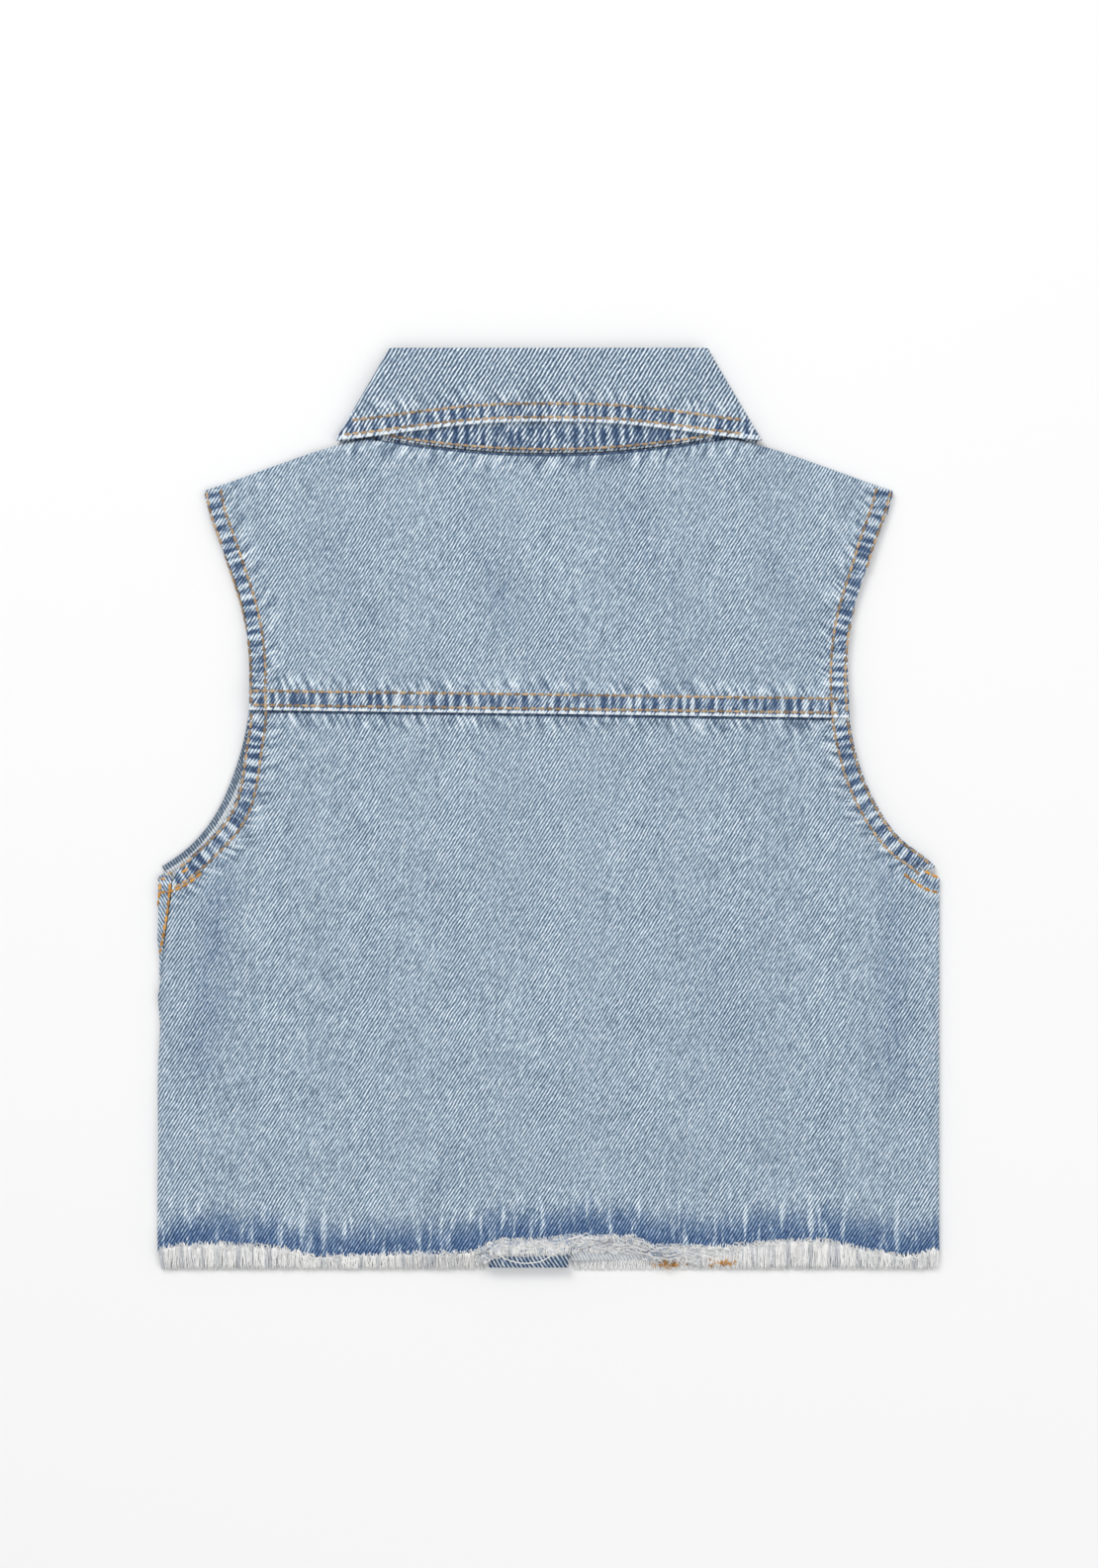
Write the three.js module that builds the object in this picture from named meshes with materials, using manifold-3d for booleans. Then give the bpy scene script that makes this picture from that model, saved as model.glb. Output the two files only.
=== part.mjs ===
// A child's sleeveless denim vest, laid flat with its back up, in millimetres.
// X runs across the vest, Y from the hem to the collar, and Z up from the surface it lies on.
// The origin is below the middle of the vest, on that surface.
import * as THREE from 'three';
import { mergeVertices } from 'three/addons/utils/BufferGeometryUtils.js';
import Module from 'manifold-3d';

const wasm = await Module();
wasm.setup();

// Driving sizes.
const HALF_WIDTH = 177.75;        // half the chest, laid flat
const TOP_Y = 210;                // crest of the folded collar
const BOTTOM_Y = -209.9;          // tips of the frayed hems
const CLOTH = 1.2;                // one ply of denim
const SEAM_GAP = 0.3;             // between pieces at a seam, and between plies that lie on each other
const SIDE_SEAM_GAP = 0.6;        // the same where a seam runs round the fold
const HEM_PLY = 0.5;              // how much a turned hem adds to the cloth
const HEM_WIDTH = 8.4;            // turned armhole hem
const LAP_WIDTH = 10.5;           // yoke's folded lower edge, over the panel
const FOLD_RADIUS = 1.55;         // middle of the cloth where it turns round the side
const FOLD_LENGTH = Math.PI * FOLD_RADIUS;
const FOLD_X = HALF_WIDTH - FOLD_RADIUS - CLOTH / 2;
const SIDE_WRAP = 7;              // how far the back goes under the right fold before its side seam

const BAND_WIDTH = 36;            // button bands
const BAND_PLY = 1.6;             // a band is folded double
const BAND_SHIFT = 9;             // how far the bands drift to the left at the hem
const UNDER_LIFT = 2.3;           // fronts ride this high over the buttons and the collar leaf
const LAP_LIFT = BAND_PLY + SEAM_GAP;   // left band over the right one
const BUTTON = { radius: 7.5, height: 2, shank: 1.4, count: 6, topY: 96, bottomY: -176 };
const BUTTONHOLE = { length: 15, width: 3.4 };

const SHOULDER_WRAP = 9;          // how far the yoke goes over the shoulder fold
const SHOULDER_RADIUS = 0.95;
const WRAP_SHARE = 0.985;         // how much narrower the yoke is at its seams with the fronts
const SHOULDER_TIP = { x: 156.4, y: 144.9 };
const NECK_X = 80;                // neck point on the shoulder
const NECK_Y = 169.6;             // the same, on the shoulder fold
const LEAF_SHOULDER_Y = 166.2;    // shoulder fold beside the collar leaf
const NECK_CURVE = 0.985;         // how much of a quarter ellipse the front neck follows
const NECK_CURVE_DROP = 0.8775;   // fall of such an ellipse, as a share of its height
const LAP_ROOM = 0.2;             // more room for the hems under the yoke's folded edge
const BAND_OVERHANG = 3;          // how far the bands reach below the fronts
const CREST_X = 73;
const STAND_SIDE_Y = 170.4;        // neck seam of the stand at its sides
const CREST_RISE = 1.2;           // how far the leaf stands over the stand's line at the crest
const LEAF_SIDE = { x: 97, y: 168 };
const LEAF_PLY = 1.8;
const STAND_PLY = 1.6;
const STAND_SHARE = 0.74;         // seam between stand and leaf, as a share of the way to the crest
const COLLAR_FRONT = { x: 2.5, neckY: 112, crestY: 143 };
const COLLAR_POINT = { x: 47, y: 84 };

const UNDERARM_Y = -30.6;
const CHEST_Y = 26;               // above it the sections of the fronts fan out to the shoulder
const FRONT_HEM_Y = -204.6;
const SEAM_Y = { left: 45.5, right: 41.9 };   // yoke's lower edge

const FRINGE = { strip: 1.2, radius: 0.42, backStrands: 128, frontStrands: 54, floor: 0.5 };

// Armhole edges, one row for each height: the back's edges and those of the fronts beneath.
const armholeSections = [
  { y: 144.9, left: -156.4, right: 156.4, frontLeft: -156.4, frontRight: 156.4 },
  { y: 134.6, left: -154.6, right: 153.7, frontLeft: -153.6, frontRight: 152.7 },
  { y: 121.1, left: -149.6, right: 148.7, frontLeft: -148.2, frontRight: 147.3 },
  { y: 107.6, left: -145.1, right: 144.7, frontLeft: -143.6, frontRight: 143.0 },
  { y: 94.1, left: -140.6, right: 140.2, frontLeft: -139.2, frontRight: 138.6 },
  { y: 80.6, left: -137.5, right: 137.0, frontLeft: -136.2, frontRight: 135.2 },
  { y: 67.1, left: -136.1, right: 135.7, frontLeft: -134.9, frontRight: 133.8 },
  { y: 53.6, left: -136.0, right: 135.6, frontLeft: -135.0, frontRight: 133.4 },
  { y: 40.1, left: -135.8, right: 136.6, frontLeft: -135.6, frontRight: 133.9 },
  { y: 30.0, left: -137.6, right: 138.6, frontLeft: -138.2, frontRight: 135.5 },
  { y: 17.0, left: -139.2, right: 142.0, frontLeft: -142.0, frontRight: 138.9 },
  { y: 4.0, left: -141.8, right: 147.8, frontLeft: -147.6, frontRight: 144.4 },
  { y: -6.0, left: -147.4, right: 153.9, frontLeft: -153.8, frontRight: 150.6 },
  { y: -14.0, left: -155.2, right: 160.4, frontLeft: -160.2, frontRight: 158.0 },
  { y: -20.7, left: -162.2, right: 170.6, frontLeft: -168.0, frontRight: 168.0 },
  { y: -25.5, left: -168.0, right: 175.6, frontLeft: -175.6, frontRight: 175.6 },
];

// Side seams below the underarm, as lengths along the cloth from the middle of the back.
// The left one shows on the back face and turns under the fold, the right one lies underneath.
const foldEnd = FOLD_X + FOLD_LENGTH;
const sideSections = [
  { y: UNDERARM_Y, left: 170.6, right: foldEnd + SIDE_WRAP },
  { y: -45, left: 171.8, right: foldEnd + SIDE_WRAP },
  { y: -77, left: 177.6, right: foldEnd + SIDE_WRAP },
  { y: -110, left: foldEnd + 1.5, right: foldEnd + SIDE_WRAP + 0.5 },
  { y: -205, left: foldEnd + 4, right: foldEnd + SIDE_WRAP + 1 },
];

// The back's frayed hem, where the cloth ends.
const hemSections = [
  { x: -178, y: -200.7 }, { x: -168, y: -198.5 }, { x: -149, y: -197.9 }, { x: -124, y: -199.6 },
  { x: -106, y: -203.7 }, { x: -82, y: -203.2 }, { x: -61, y: -202.2 }, { x: -37, y: -201.7 },
  { x: -21, y: -196.0 }, { x: 0, y: -195.6 }, { x: 12, y: -194.2 }, { x: 38, y: -194.8 },
  { x: 48, y: -199.2 }, { x: 84, y: -199.4 }, { x: 106, y: -196.4 }, { x: 127, y: -196.8 },
  { x: 148, y: -201.4 }, { x: 162, y: -203.6 }, { x: 178, y: -200.0 },
];

// Neck seam of the back and the lower edge of the collar leaf over it.
const backNeckSections = [
  { x: 0, neck: 161.6, leaf: 176.4 }, { x: 20, neck: 162.0, leaf: 176.2 },
  { x: 37, neck: 163.2, leaf: 175.2 }, { x: 60, neck: 165.8, leaf: 172.6 },
  { x: 80, neck: 169.2, leaf: 169.8 }, { x: 97, neck: 169.6, leaf: 168.0 },
];

// Soft troughs and swells of the lower back, each a long dent between two ends.
const creases = [
  { fromX: -148, fromY: -20, toX: -159, toY: -130, width: 13, depth: -0.7 },
  { fromX: 156, fromY: -26, toX: 160, toY: -135, width: 12, depth: -0.6 },
  { fromX: -60, fromY: -150, toX: -20, toY: -60, width: 26, depth: 0.6 },
  { fromX: 92, fromY: -170, toX: 76, toY: -40, width: 24, depth: 0.7 },
  { fromX: -110, fromY: 60, toX: -70, toY: 120, width: 22, depth: 0.5 },
  { fromX: 88, fromY: 70, toX: 62, toY: 128, width: 22, depth: 0.5 },
];

const denim = { color: 0x9fb0bf, roughness: 0.92, metalness: 0 };
const finishes = {
  panel: new THREE.MeshStandardMaterial(denim),
  collar: new THREE.MeshStandardMaterial({ ...denim, color: 0x9dacb9 }),
  fringe: new THREE.MeshStandardMaterial({ color: 0xd9dad8, roughness: 0.95, metalness: 0 }),
  metal: new THREE.MeshStandardMaterial({ color: 0x9a8a6a, roughness: 0.35, metalness: 1 }),
};

const mix = (a, b, t) => a + (b - a) * t;

function smooth(value, low, high) {
  const t = Math.min(1, Math.max(0, (value - low) / (high - low)));
  return t * t * (3 - 2 * t);
}

// A column of a table at one place along its key, read between the two rows next to it.
function along(table, key, at, column) {
  const rising = table[table.length - 1][key] > table[0][key];
  const rows = rising ? table : [...table].reverse();
  let k = 1;
  while (k < rows.length - 1 && rows[k][key] < at) k += 1;
  const share = (at - rows[k - 1][key]) / (rows[k][key] - rows[k - 1][key]);
  return mix(rows[k - 1][column], rows[k][column], Math.min(1, Math.max(0, share)));
}

const seamY = (x) => mix(SEAM_Y.left, SEAM_Y.right, (x + 135) / 270);
const backNeckY = (x) => along(backNeckSections, 'x', Math.abs(x), 'neck');
const leafEdgeY = (x) => along(backNeckSections, 'x', Math.abs(x), 'leaf');

// Shoulder fold, straight from its tip to the collar and a little flatter beneath the leaf.
function shoulderY(x) {
  const out = Math.abs(x);
  return out > LEAF_SIDE.x ? mix(LEAF_SHOULDER_Y, SHOULDER_TIP.y, (out - LEAF_SIDE.x) / (SHOULDER_TIP.x - LEAF_SIDE.x))
    : mix(NECK_Y, LEAF_SHOULDER_Y, (out - NECK_X) / (LEAF_SIDE.x - NECK_X));
}

// Seam of the front neck, a quarter ellipse from the neck point down to the bands.
function frontNeckY(x) {
  const share = Math.min(1, Math.abs(x) / NECK_X);
  const fall = 1 - Math.sqrt(1 - NECK_CURVE * share * share);
  return COLLAR_FRONT.neckY + (NECK_Y - COLLAR_FRONT.neckY) * fall / NECK_CURVE_DROP;
}

const bandX = (y) => -BAND_SHIFT * (COLLAR_FRONT.neckY - y) / (COLLAR_FRONT.neckY - FRONT_HEM_Y);

// How far a place lies outside the front half of the collar leaf.
function outsideLeaf(x, y) {
  const out = Math.abs(x);
  const sideX = LEAF_SIDE.x - COLLAR_POINT.x;
  const sideY = LEAF_SIDE.y - COLLAR_POINT.y;
  const endX = COLLAR_POINT.x - COLLAR_FRONT.x;
  const endY = COLLAR_FRONT.crestY - COLLAR_POINT.y;
  const fromSide = ((out - COLLAR_POINT.x) * sideY - (y - COLLAR_POINT.y) * sideX) / Math.hypot(sideX, sideY);
  const fromEnd = (-(out - COLLAR_POINT.x) * endY - (y - COLLAR_POINT.y) * endX) / Math.hypot(endX, endY);
  return Math.max(fromSide, fromEnd);
}

// Share of the lift over the buttons and the leaf, full for a margin beyond each.
function underLift(x, y, margin, fall) {
  const fromBand = Math.abs(x - bandX(y)) - BAND_WIDTH / 2 - margin;
  const buttons = 1 - smooth(fromBand, 0, fall);
  const leaf = 1 - smooth(outsideLeaf(x, y) - margin, 7, 7 + fall * 0.6);
  return 1 - (1 - buttons) * (1 - leaf);
}

// Outer, lower face of the fronts: flat on the surface but for those lifts.
function frontZ(x, y) {
  const fromBand = bandX(y) - x;
  const lap = fromBand > 0 ? LAP_LIFT * (1 - smooth(fromBand, BAND_WIDTH / 2, BAND_WIDTH / 2 + 26)) : 0;
  return UNDER_LIFT * underLift(x, y, 0, 28) + lap;
}

function creaseZ(x, y) {
  return creases.reduce((sum, c) => {
    const runX = c.toX - c.fromX;
    const runY = c.toY - c.fromY;
    const length = Math.hypot(runX, runY);
    const forward = ((x - c.fromX) * runX + (y - c.fromY) * runY) / length;
    const aside = ((x - c.fromX) * runY - (y - c.fromY) * runX) / length;
    const fade = smooth(forward, -15, length * 0.3) * (1 - smooth(forward, length * 0.7, length + 15));
    return sum + c.depth * fade * Math.exp(-((aside / c.width) ** 2));
  }, 0);
}

// Inner, lower face of the back: clear of all that lies beneath it.
function backZ(x, y) {
  const out = Math.abs(x);
  const bands = LAP_LIFT + 0.4;
  const overBands = bands * (1 - smooth(Math.abs(x - bandX(y)) - BAND_WIDTH / 2, 10, 60));
  const overStand = 0.5 * (1 - smooth(outsideLeaf(x, y), 8, 30));
  const below = 1 - smooth(y, UNDERARM_Y, UNDERARM_Y + 34);
  const side = (2 * FOLD_RADIUS - CLOTH - SEAM_GAP) * smooth(out, HALF_WIDTH - 42, FOLD_X) * below;
  const edge = Math.abs(along(armholeSections, 'y', y, x < 0 ? 'left' : 'right'));
  const hem = (HEM_PLY + 0.1) * (1 - smooth(edge - out, HEM_WIDTH + 1, HEM_WIDTH + 14)) * smooth(y, -60, -30);
  const inner = 1 - smooth(out, HALF_WIDTH - 40, HALF_WIDTH - 10);
  const swell = (0.8 + creaseZ(x, y)) * Math.max(inner, 0.35 * below) * smooth(y, -209, -150)
    * (1 - smooth(y, 110, 150));
  return CLOTH + SEAM_GAP + UNDER_LIFT * underLift(x, y, 9, 44) + overBands + overStand + Math.max(side, hem)
    + Math.max(0, swell) * (1 - side / 2);
}

// A point on the body: along is the signed length round the cloth from the middle of the back,
// and outward is the distance from the middle of the ply, towards the outside of the vest.
function bodyPoint(length, y, outward) {
  const side = Math.sign(length) || 1;
  const run = Math.abs(length);
  const half = CLOTH / 2;
  if (run <= FOLD_X) return new THREE.Vector3(length, y, backZ(length, y) + half + outward);
  const top = backZ(side * FOLD_X, y) + half;
  const low = frontZ(side * FOLD_X, y) + half;
  if (run < foldEnd) {
    const angle = Math.PI * (run - FOLD_X) / FOLD_LENGTH;
    const radius = (top - low) / 2;
    return new THREE.Vector3(side * (FOLD_X + (radius + outward) * Math.sin(angle)), y,
      (top + low) / 2 + (radius + outward) * Math.cos(angle));
  }
  const x = side * (FOLD_X - (run - foldEnd));
  return new THREE.Vector3(x, y, frontZ(x, y) + half - outward);
}

const frontLength = (x) => Math.sign(x) * (foldEnd + FOLD_X - Math.abs(x));

// A closed wall over a grid: at gives the outer and the inner point, has says which cells exist.
function wall(name, columns, rows, at, finish, has = () => true) {
  const index = (i, j, inner) => (inner * (rows + 1) + j) * (columns + 1) + i;
  const positions = [];
  for (const inner of [0, 1]) {
    for (let j = 0; j <= rows; j += 1) {
      for (let i = 0; i <= columns; i += 1) {
        const pair = at(i, j);
        positions.push(...(inner ? pair.inner : pair.outer).toArray());
      }
    }
  }
  const exists = (i, j) => i >= 0 && j >= 0 && i < columns && j < rows && has(i, j);
  const faces = [];
  const quad = (a, b, c, d) => faces.push(a, b, c, a, c, d);
  const corner = [[0, 0], [1, 0], [1, 1], [0, 1]];
  const beside = [[0, -1], [1, 0], [0, 1], [-1, 0]];
  for (let j = 0; j < rows; j += 1) {
    for (let i = 0; i < columns; i += 1) {
      if (!exists(i, j)) continue;
      quad(...corner.map(([a, b]) => index(i + a, j + b, 0)));
      quad(...[...corner].reverse().map(([a, b]) => index(i + a, j + b, 1)));
      beside.forEach(([a, b], k) => {
        if (exists(i + a, j + b)) return;
        const [p, q] = [corner[k], corner[(k + 1) % 4]];
        quad(index(i + q[0], j + q[1], 0), index(i + p[0], j + p[1], 0),
          index(i + p[0], j + p[1], 1), index(i + q[0], j + q[1], 1));
      });
    }
  }
  const geometry = new THREE.BufferGeometry();
  geometry.setAttribute('position', new THREE.Float32BufferAttribute(positions, 3));
  geometry.setIndex(volumeOf(positions, faces) < 0 ? faces.reverse() : faces);
  return named(name, mergeVertices(geometry.toNonIndexed(), 1e-4), finish);
}

// Signed volume of a closed mesh, negative where its faces point inwards.
function volumeOf(positions, faces) {
  const corner = (k) => new THREE.Vector3().fromArray(positions, 3 * faces[k]);
  let volume = 0;
  for (let k = 0; k < faces.length; k += 3) volume += corner(k).dot(corner(k + 1).cross(corner(k + 2))) / 6;
  return volume;
}

function named(name, geometry, finish) {
  const mesh = new THREE.Mesh(geometry, finish);
  mesh.name = name;
  return mesh;
}

function solidOf(geometry) {
  const plain = geometry.clone();
  plain.deleteAttribute('normal');
  plain.deleteAttribute('uv');
  const merged = mergeVertices(plain, 1e-4);
  return new wasm.Manifold(new wasm.Mesh({
    numProp: 3,
    vertProperties: new Float32Array(merged.attributes.position.array),
    triVerts: new Uint32Array(merged.index.array),
  }));
}

function geometryOf(solid) {
  const { vertProperties, triVerts } = solid.getMesh();
  const geometry = new THREE.BufferGeometry();
  geometry.setAttribute('position', new THREE.BufferAttribute(vertProperties, 3));
  geometry.setIndex([...triVerts]);
  return geometry;
}

// Lengths across a piece: close steps from each end, then even ones between.
function steps(start, end, fromStart, fromEnd, between) {
  const direction = Math.sign(end - start);
  const first = fromStart.map((d) => start + direction * d);
  const last = fromEnd.map((d) => end - direction * d).reverse();
  const from = first[first.length - 1];
  const middle = Array.from({ length: between - 1 }, (_, k) => mix(from, last[0], (k + 1) / between));
  return [...first, ...middle, ...last];
}

// Edge of the back along the cloth, past the underarm round the fold to the side seam.
function backEdge(y, side) {
  const column = side < 0 ? 'left' : 'right';
  if (y <= UNDERARM_Y) return side * along(sideSections, 'y', y, column);
  const lowest = armholeSections[armholeSections.length - 1];
  if (y >= lowest.y) return along(armholeSections, 'y', y, column);
  return mix(side * sideSections[0][column], lowest[column], (y - UNDERARM_Y) / (lowest.y - UNDERARM_Y));
}

function frontEdge(y, side) {
  const column = side < 0 ? 'left' : 'right';
  if (y <= UNDERARM_Y) return side * (along(sideSections, 'y', y, column) + SIDE_SEAM_GAP);
  const lowest = armholeSections[armholeSections.length - 1];
  const frontColumn = side < 0 ? 'frontLeft' : 'frontRight';
  if (y >= lowest.y) return frontLength(along(armholeSections, 'y', y, frontColumn));
  return mix(side * (sideSections[0][column] + SIDE_SEAM_GAP), frontLength(lowest[frontColumn]),
    (y - UNDERARM_Y) / (lowest.y - UNDERARM_Y));
}

// Extra thickness of the turned armhole hem, at a distance from the edge.
const hemPly = (fromEdge, y) => (y > UNDERARM_Y - 2 && fromEdge < HEM_WIDTH + 0.01 ? HEM_PLY : 0);

// Heights of the sections below the armholes and beside them, the same on the back and the fronts.
const bodyHeights = [-188, -165, -140, -112, -85, -58, -40, UNDERARM_Y, -25.5, -20.7, -14, -6, 4];

// Lengths across the back at one height.
function backSteps(y) {
  return steps(backEdge(y, -1), backEdge(y, 1), [0, 1.4, 2.8, 4.2, 6, HEM_WIDTH, HEM_WIDTH + 1],
    [0, 3.5, 7, HEM_WIDTH, HEM_WIDTH + 1, 10.6, 12, 14], 20);
}

function buildBackPanel() {
  const heights = [FRONT_HEM_Y, ...bodyHeights, 17, 30];
  const grid = heights.map((y) => backSteps(y));
  const lapTop = backSteps(SEAM_Y.right);
  grid.push(lapTop, lapTop);
  const at = (i, j) => {
    const length = grid[j][i];
    const x = Math.max(-HALF_WIDTH, Math.min(HALF_WIDTH, length));
    let y = heights[j];
    if (j === 0) y = along(hemSections, 'x', x, 'y');
    if (j >= heights.length) y = seamY(x) - 1 + (j - heights.length) * LAP_WIDTH;
    const last = grid[j].length - 1;
    const fromEdge = Math.min(length - grid[j][0], grid[j][last] - length);
    const extra = Math.abs(length) < FOLD_X ? hemPly(fromEdge, y) : 0;
    return { outer: bodyPoint(length, y, CLOTH / 2 + extra), inner: bodyPoint(length, y, -CLOTH / 2) };
  };
  return wall('back_panel', lapTop.length - 1, grid.length - 1, at, finishes.panel);
}

// The yoke laps over the panel at its lower edge and turns over both shoulders.
function buildYoke() {
  const lap = [0, LAP_WIDTH, LAP_WIDTH + 3];
  const risers = [0.14, 0.26, 0.38, 0.5, 0.62, 0.74, 0.86, 1];
  const turn = [0.25, 0.5, 0.75, 1];
  const flat = lap.length + risers.length - 1;
  const rows = flat + turn.length + 1;
  const tipX = SHOULDER_TIP.x;
  const fromTip = [0, 4, HEM_WIDTH, HEM_WIDTH + 1, 33, 58, tipX - NECK_X];
  const atTop = steps(-tipX, tipX, fromTip, fromTip, 13);
  const columns = atTop.length - 1;
  const neckColumns = atTop.map((x) => Math.abs(x) < NECK_X - 0.01);
  const over = CLOTH + SEAM_GAP + LAP_ROOM;
  const place = (i, j) => {
    const share = j < lap.length ? 0 : risers[Math.min(j - lap.length, risers.length - 1)];
    const level = mix(SEAM_Y.left, SHOULDER_TIP.y, share);
    const left = along(armholeSections, 'y', level, 'left');
    const right = along(armholeSections, 'y', level, 'right');
    const near = Math.min(atTop[i] + tipX, tipX - atTop[i]);
    const inset = HEM_WIDTH + 1;
    const x = near <= inset ? (atTop[i] < 0 ? left + near : right - near)
      : mix(left + inset, right - inset, (atTop[i] + tipX - inset) / (2 * (tipX - inset)));
    const topY = neckColumns[i] ? backNeckY(atTop[i]) - LAP_ROOM
      : shoulderY(atTop[i]) - SHOULDER_RADIUS - CLOTH / 2;
    const low = seamY(x) + (j < lap.length ? lap[j] : lap[lap.length - 1]);
    return { x, y: mix(low, topY, share), near };
  };
  const at = (i, j) => {
    const { x, y, near } = place(i, Math.min(j, flat));
    const extra = hemPly(near, y);
    const low = backZ(x, y) + (j < 2 ? over + hemPly(near - 1.1, y) : 0);
    const pair = { outer: new THREE.Vector3(x, y, low + CLOTH + extra), inner: new THREE.Vector3(x, y, low) };
    if (j <= flat) return pair;
    const under = frontZ(x, y - 1) + CLOTH / 2;
    const middle = low + CLOTH / 2;
    const radius = (middle - under) / 2;
    const angle = Math.PI * turn[Math.min(j - flat, turn.length) - 1];
    const past = j > flat + turn.length ? SHOULDER_WRAP : 0;
    const point = (outward) => {
      const reach = (radius + outward) * Math.sin(angle) - past;
      const edgeX = past ? x * WRAP_SHARE : x;
      const z = past ? frontZ(edgeX, y + reach) + CLOTH / 2 - outward
        : (middle + under) / 2 + (radius + outward) * Math.cos(angle);
      return new THREE.Vector3(edgeX, y + reach, z);
    };
    return { outer: point(CLOTH / 2 + (past ? 0 : extra * (1 - angle / Math.PI))), inner: point(-CLOTH / 2) };
  };
  const has = (i, j) => j < flat || !(neckColumns[i] || neckColumns[i + 1]);
  return wall('back_yoke', columns, rows, at, finishes.panel, has);
}

// One front, from its side seam, round the fold where it shows, to its band.
function buildFront(name, side) {
  const levels = [FRONT_HEM_Y, ...bodyHeights, CHEST_Y];
  const fans = [0.2, 0.4, 0.6, 0.8, 1];
  const rows = levels.length - 1 + fans.length;
  const near = side < 0 ? [0, 1.5, 3, 4.5, 6, 7.5, HEM_WIDTH, HEM_WIDTH + 1, 11]
    : [0, 4, HEM_WIDTH, HEM_WIDTH + 1];
  const tipY = SHOULDER_TIP.y - SHOULDER_WRAP;
  const lengths = (y, fan) => {
    const bandY = fan > 0 ? mix(CHEST_Y, COLLAR_FRONT.neckY, fan) : y;
    const inner = bandX(bandY) + side * (BAND_WIDTH / 2 + SEAM_GAP + 0.05);
    return steps(frontEdge(y, side), frontLength(inner), near, [0], 10);
  };
  const top = lengths(tipY, 1);
  const at = (i, j) => {
    const fan = j < levels.length ? 0 : fans[j - levels.length];
    const level = j < levels.length ? levels[j] : mix(CHEST_Y, tipY, fan);
    const row = lengths(level, fan);
    let y = level;
    if (fan > 0) {
      const topX = foldEnd + FOLD_X - Math.abs(top[i]);
      const under = shoulderY(topX / WRAP_SHARE) - SHOULDER_WRAP - SHOULDER_RADIUS - CLOTH / 2 - SEAM_GAP;
      const topY = topX < NECK_X ? Math.min(frontNeckY(topX), under) - SEAM_GAP : under;
      y = mix(CHEST_Y, topY, fan);
    }
    const extra = hemPly(Math.abs(row[i] - row[0]), y);
    return { outer: bodyPoint(row[i], y, CLOTH / 2), inner: bodyPoint(row[i], y, -CLOTH / 2 - extra) };
  };
  return wall(name, top.length - 1, rows, at, finishes.panel);
}

// A button band on the front edge, the left one above the right one.
function bandGeometry(name, lifted) {
  const rows = 12;
  const start = FRONT_HEM_Y - BAND_OVERHANG;
  const at = (i, j) => {
    const share = j / rows;
    const offset = mix(-BAND_WIDTH / 2, BAND_WIDTH / 2, i / 3);
    const y = mix(start, frontNeckY(offset) - 1, share);
    const x = bandX(y) + offset;
    const low = UNDER_LIFT + (lifted ? LAP_LIFT : 0);
    return { outer: new THREE.Vector3(x, y, low + BAND_PLY), inner: new THREE.Vector3(x, y, low) };
  };
  return wall(name, 3, rows, at, finishes.panel);
}

const buttonHeights = Array.from({ length: BUTTON.count },
  (_, k) => mix(BUTTON.topY, BUTTON.bottomY, k / (BUTTON.count - 1)));

// The right band has its buttonholes cut through.
function buildRightBand() {
  const band = bandGeometry('placket_right', false);
  let solid = solidOf(band.geometry);
  for (const y of buttonHeights) {
    const hole = new THREE.BoxGeometry(BUTTONHOLE.length, BUTTONHOLE.width, 8);
    hole.translate(bandX(y) + BUTTONHOLE.length / 2 - BUTTONHOLE.width, y, UNDER_LIFT + BAND_PLY / 2);
    solid = solid.subtract(solidOf(hole));
  }
  return named('placket_right', geometryOf(solid), finishes.panel);
}

// A shank button: a dished cap on the surface and a shank through its buttonhole.
function buildButton(y, k) {
  const { radius, height, shank } = BUTTON;
  const top = UNDER_LIFT + LAP_LIFT - SEAM_GAP;
  const profile = [[0, 0.5], [radius - 2, 0.5], [radius - 1.3, 0], [radius - 0.5, 0], [radius, 0.6],
    [radius - 0.3, height - 0.3], [shank, height], [shank, top], [0, top]];
  const lathe = new THREE.LatheGeometry(profile.map(([r, z]) => new THREE.Vector2(r, z)), 14);
  lathe.rotateX(Math.PI / 2);
  lathe.translate(bandX(y), y, 0);
  lathe.deleteAttribute('normal');
  lathe.deleteAttribute('uv');
  return named(`button_${k + 1}`, mergeVertices(lathe, 1e-4), finishes.metal);
}

const CREST_Y = TOP_Y - CREST_RISE;
const CORE_TOP = UNDER_LIFT + STAND_PLY + SEAM_GAP;   // lower face of the stand at the back
const COLLAR_MIDDLE = CORE_TOP - SEAM_GAP / 2;        // height about which the collar turns at its sides

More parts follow.
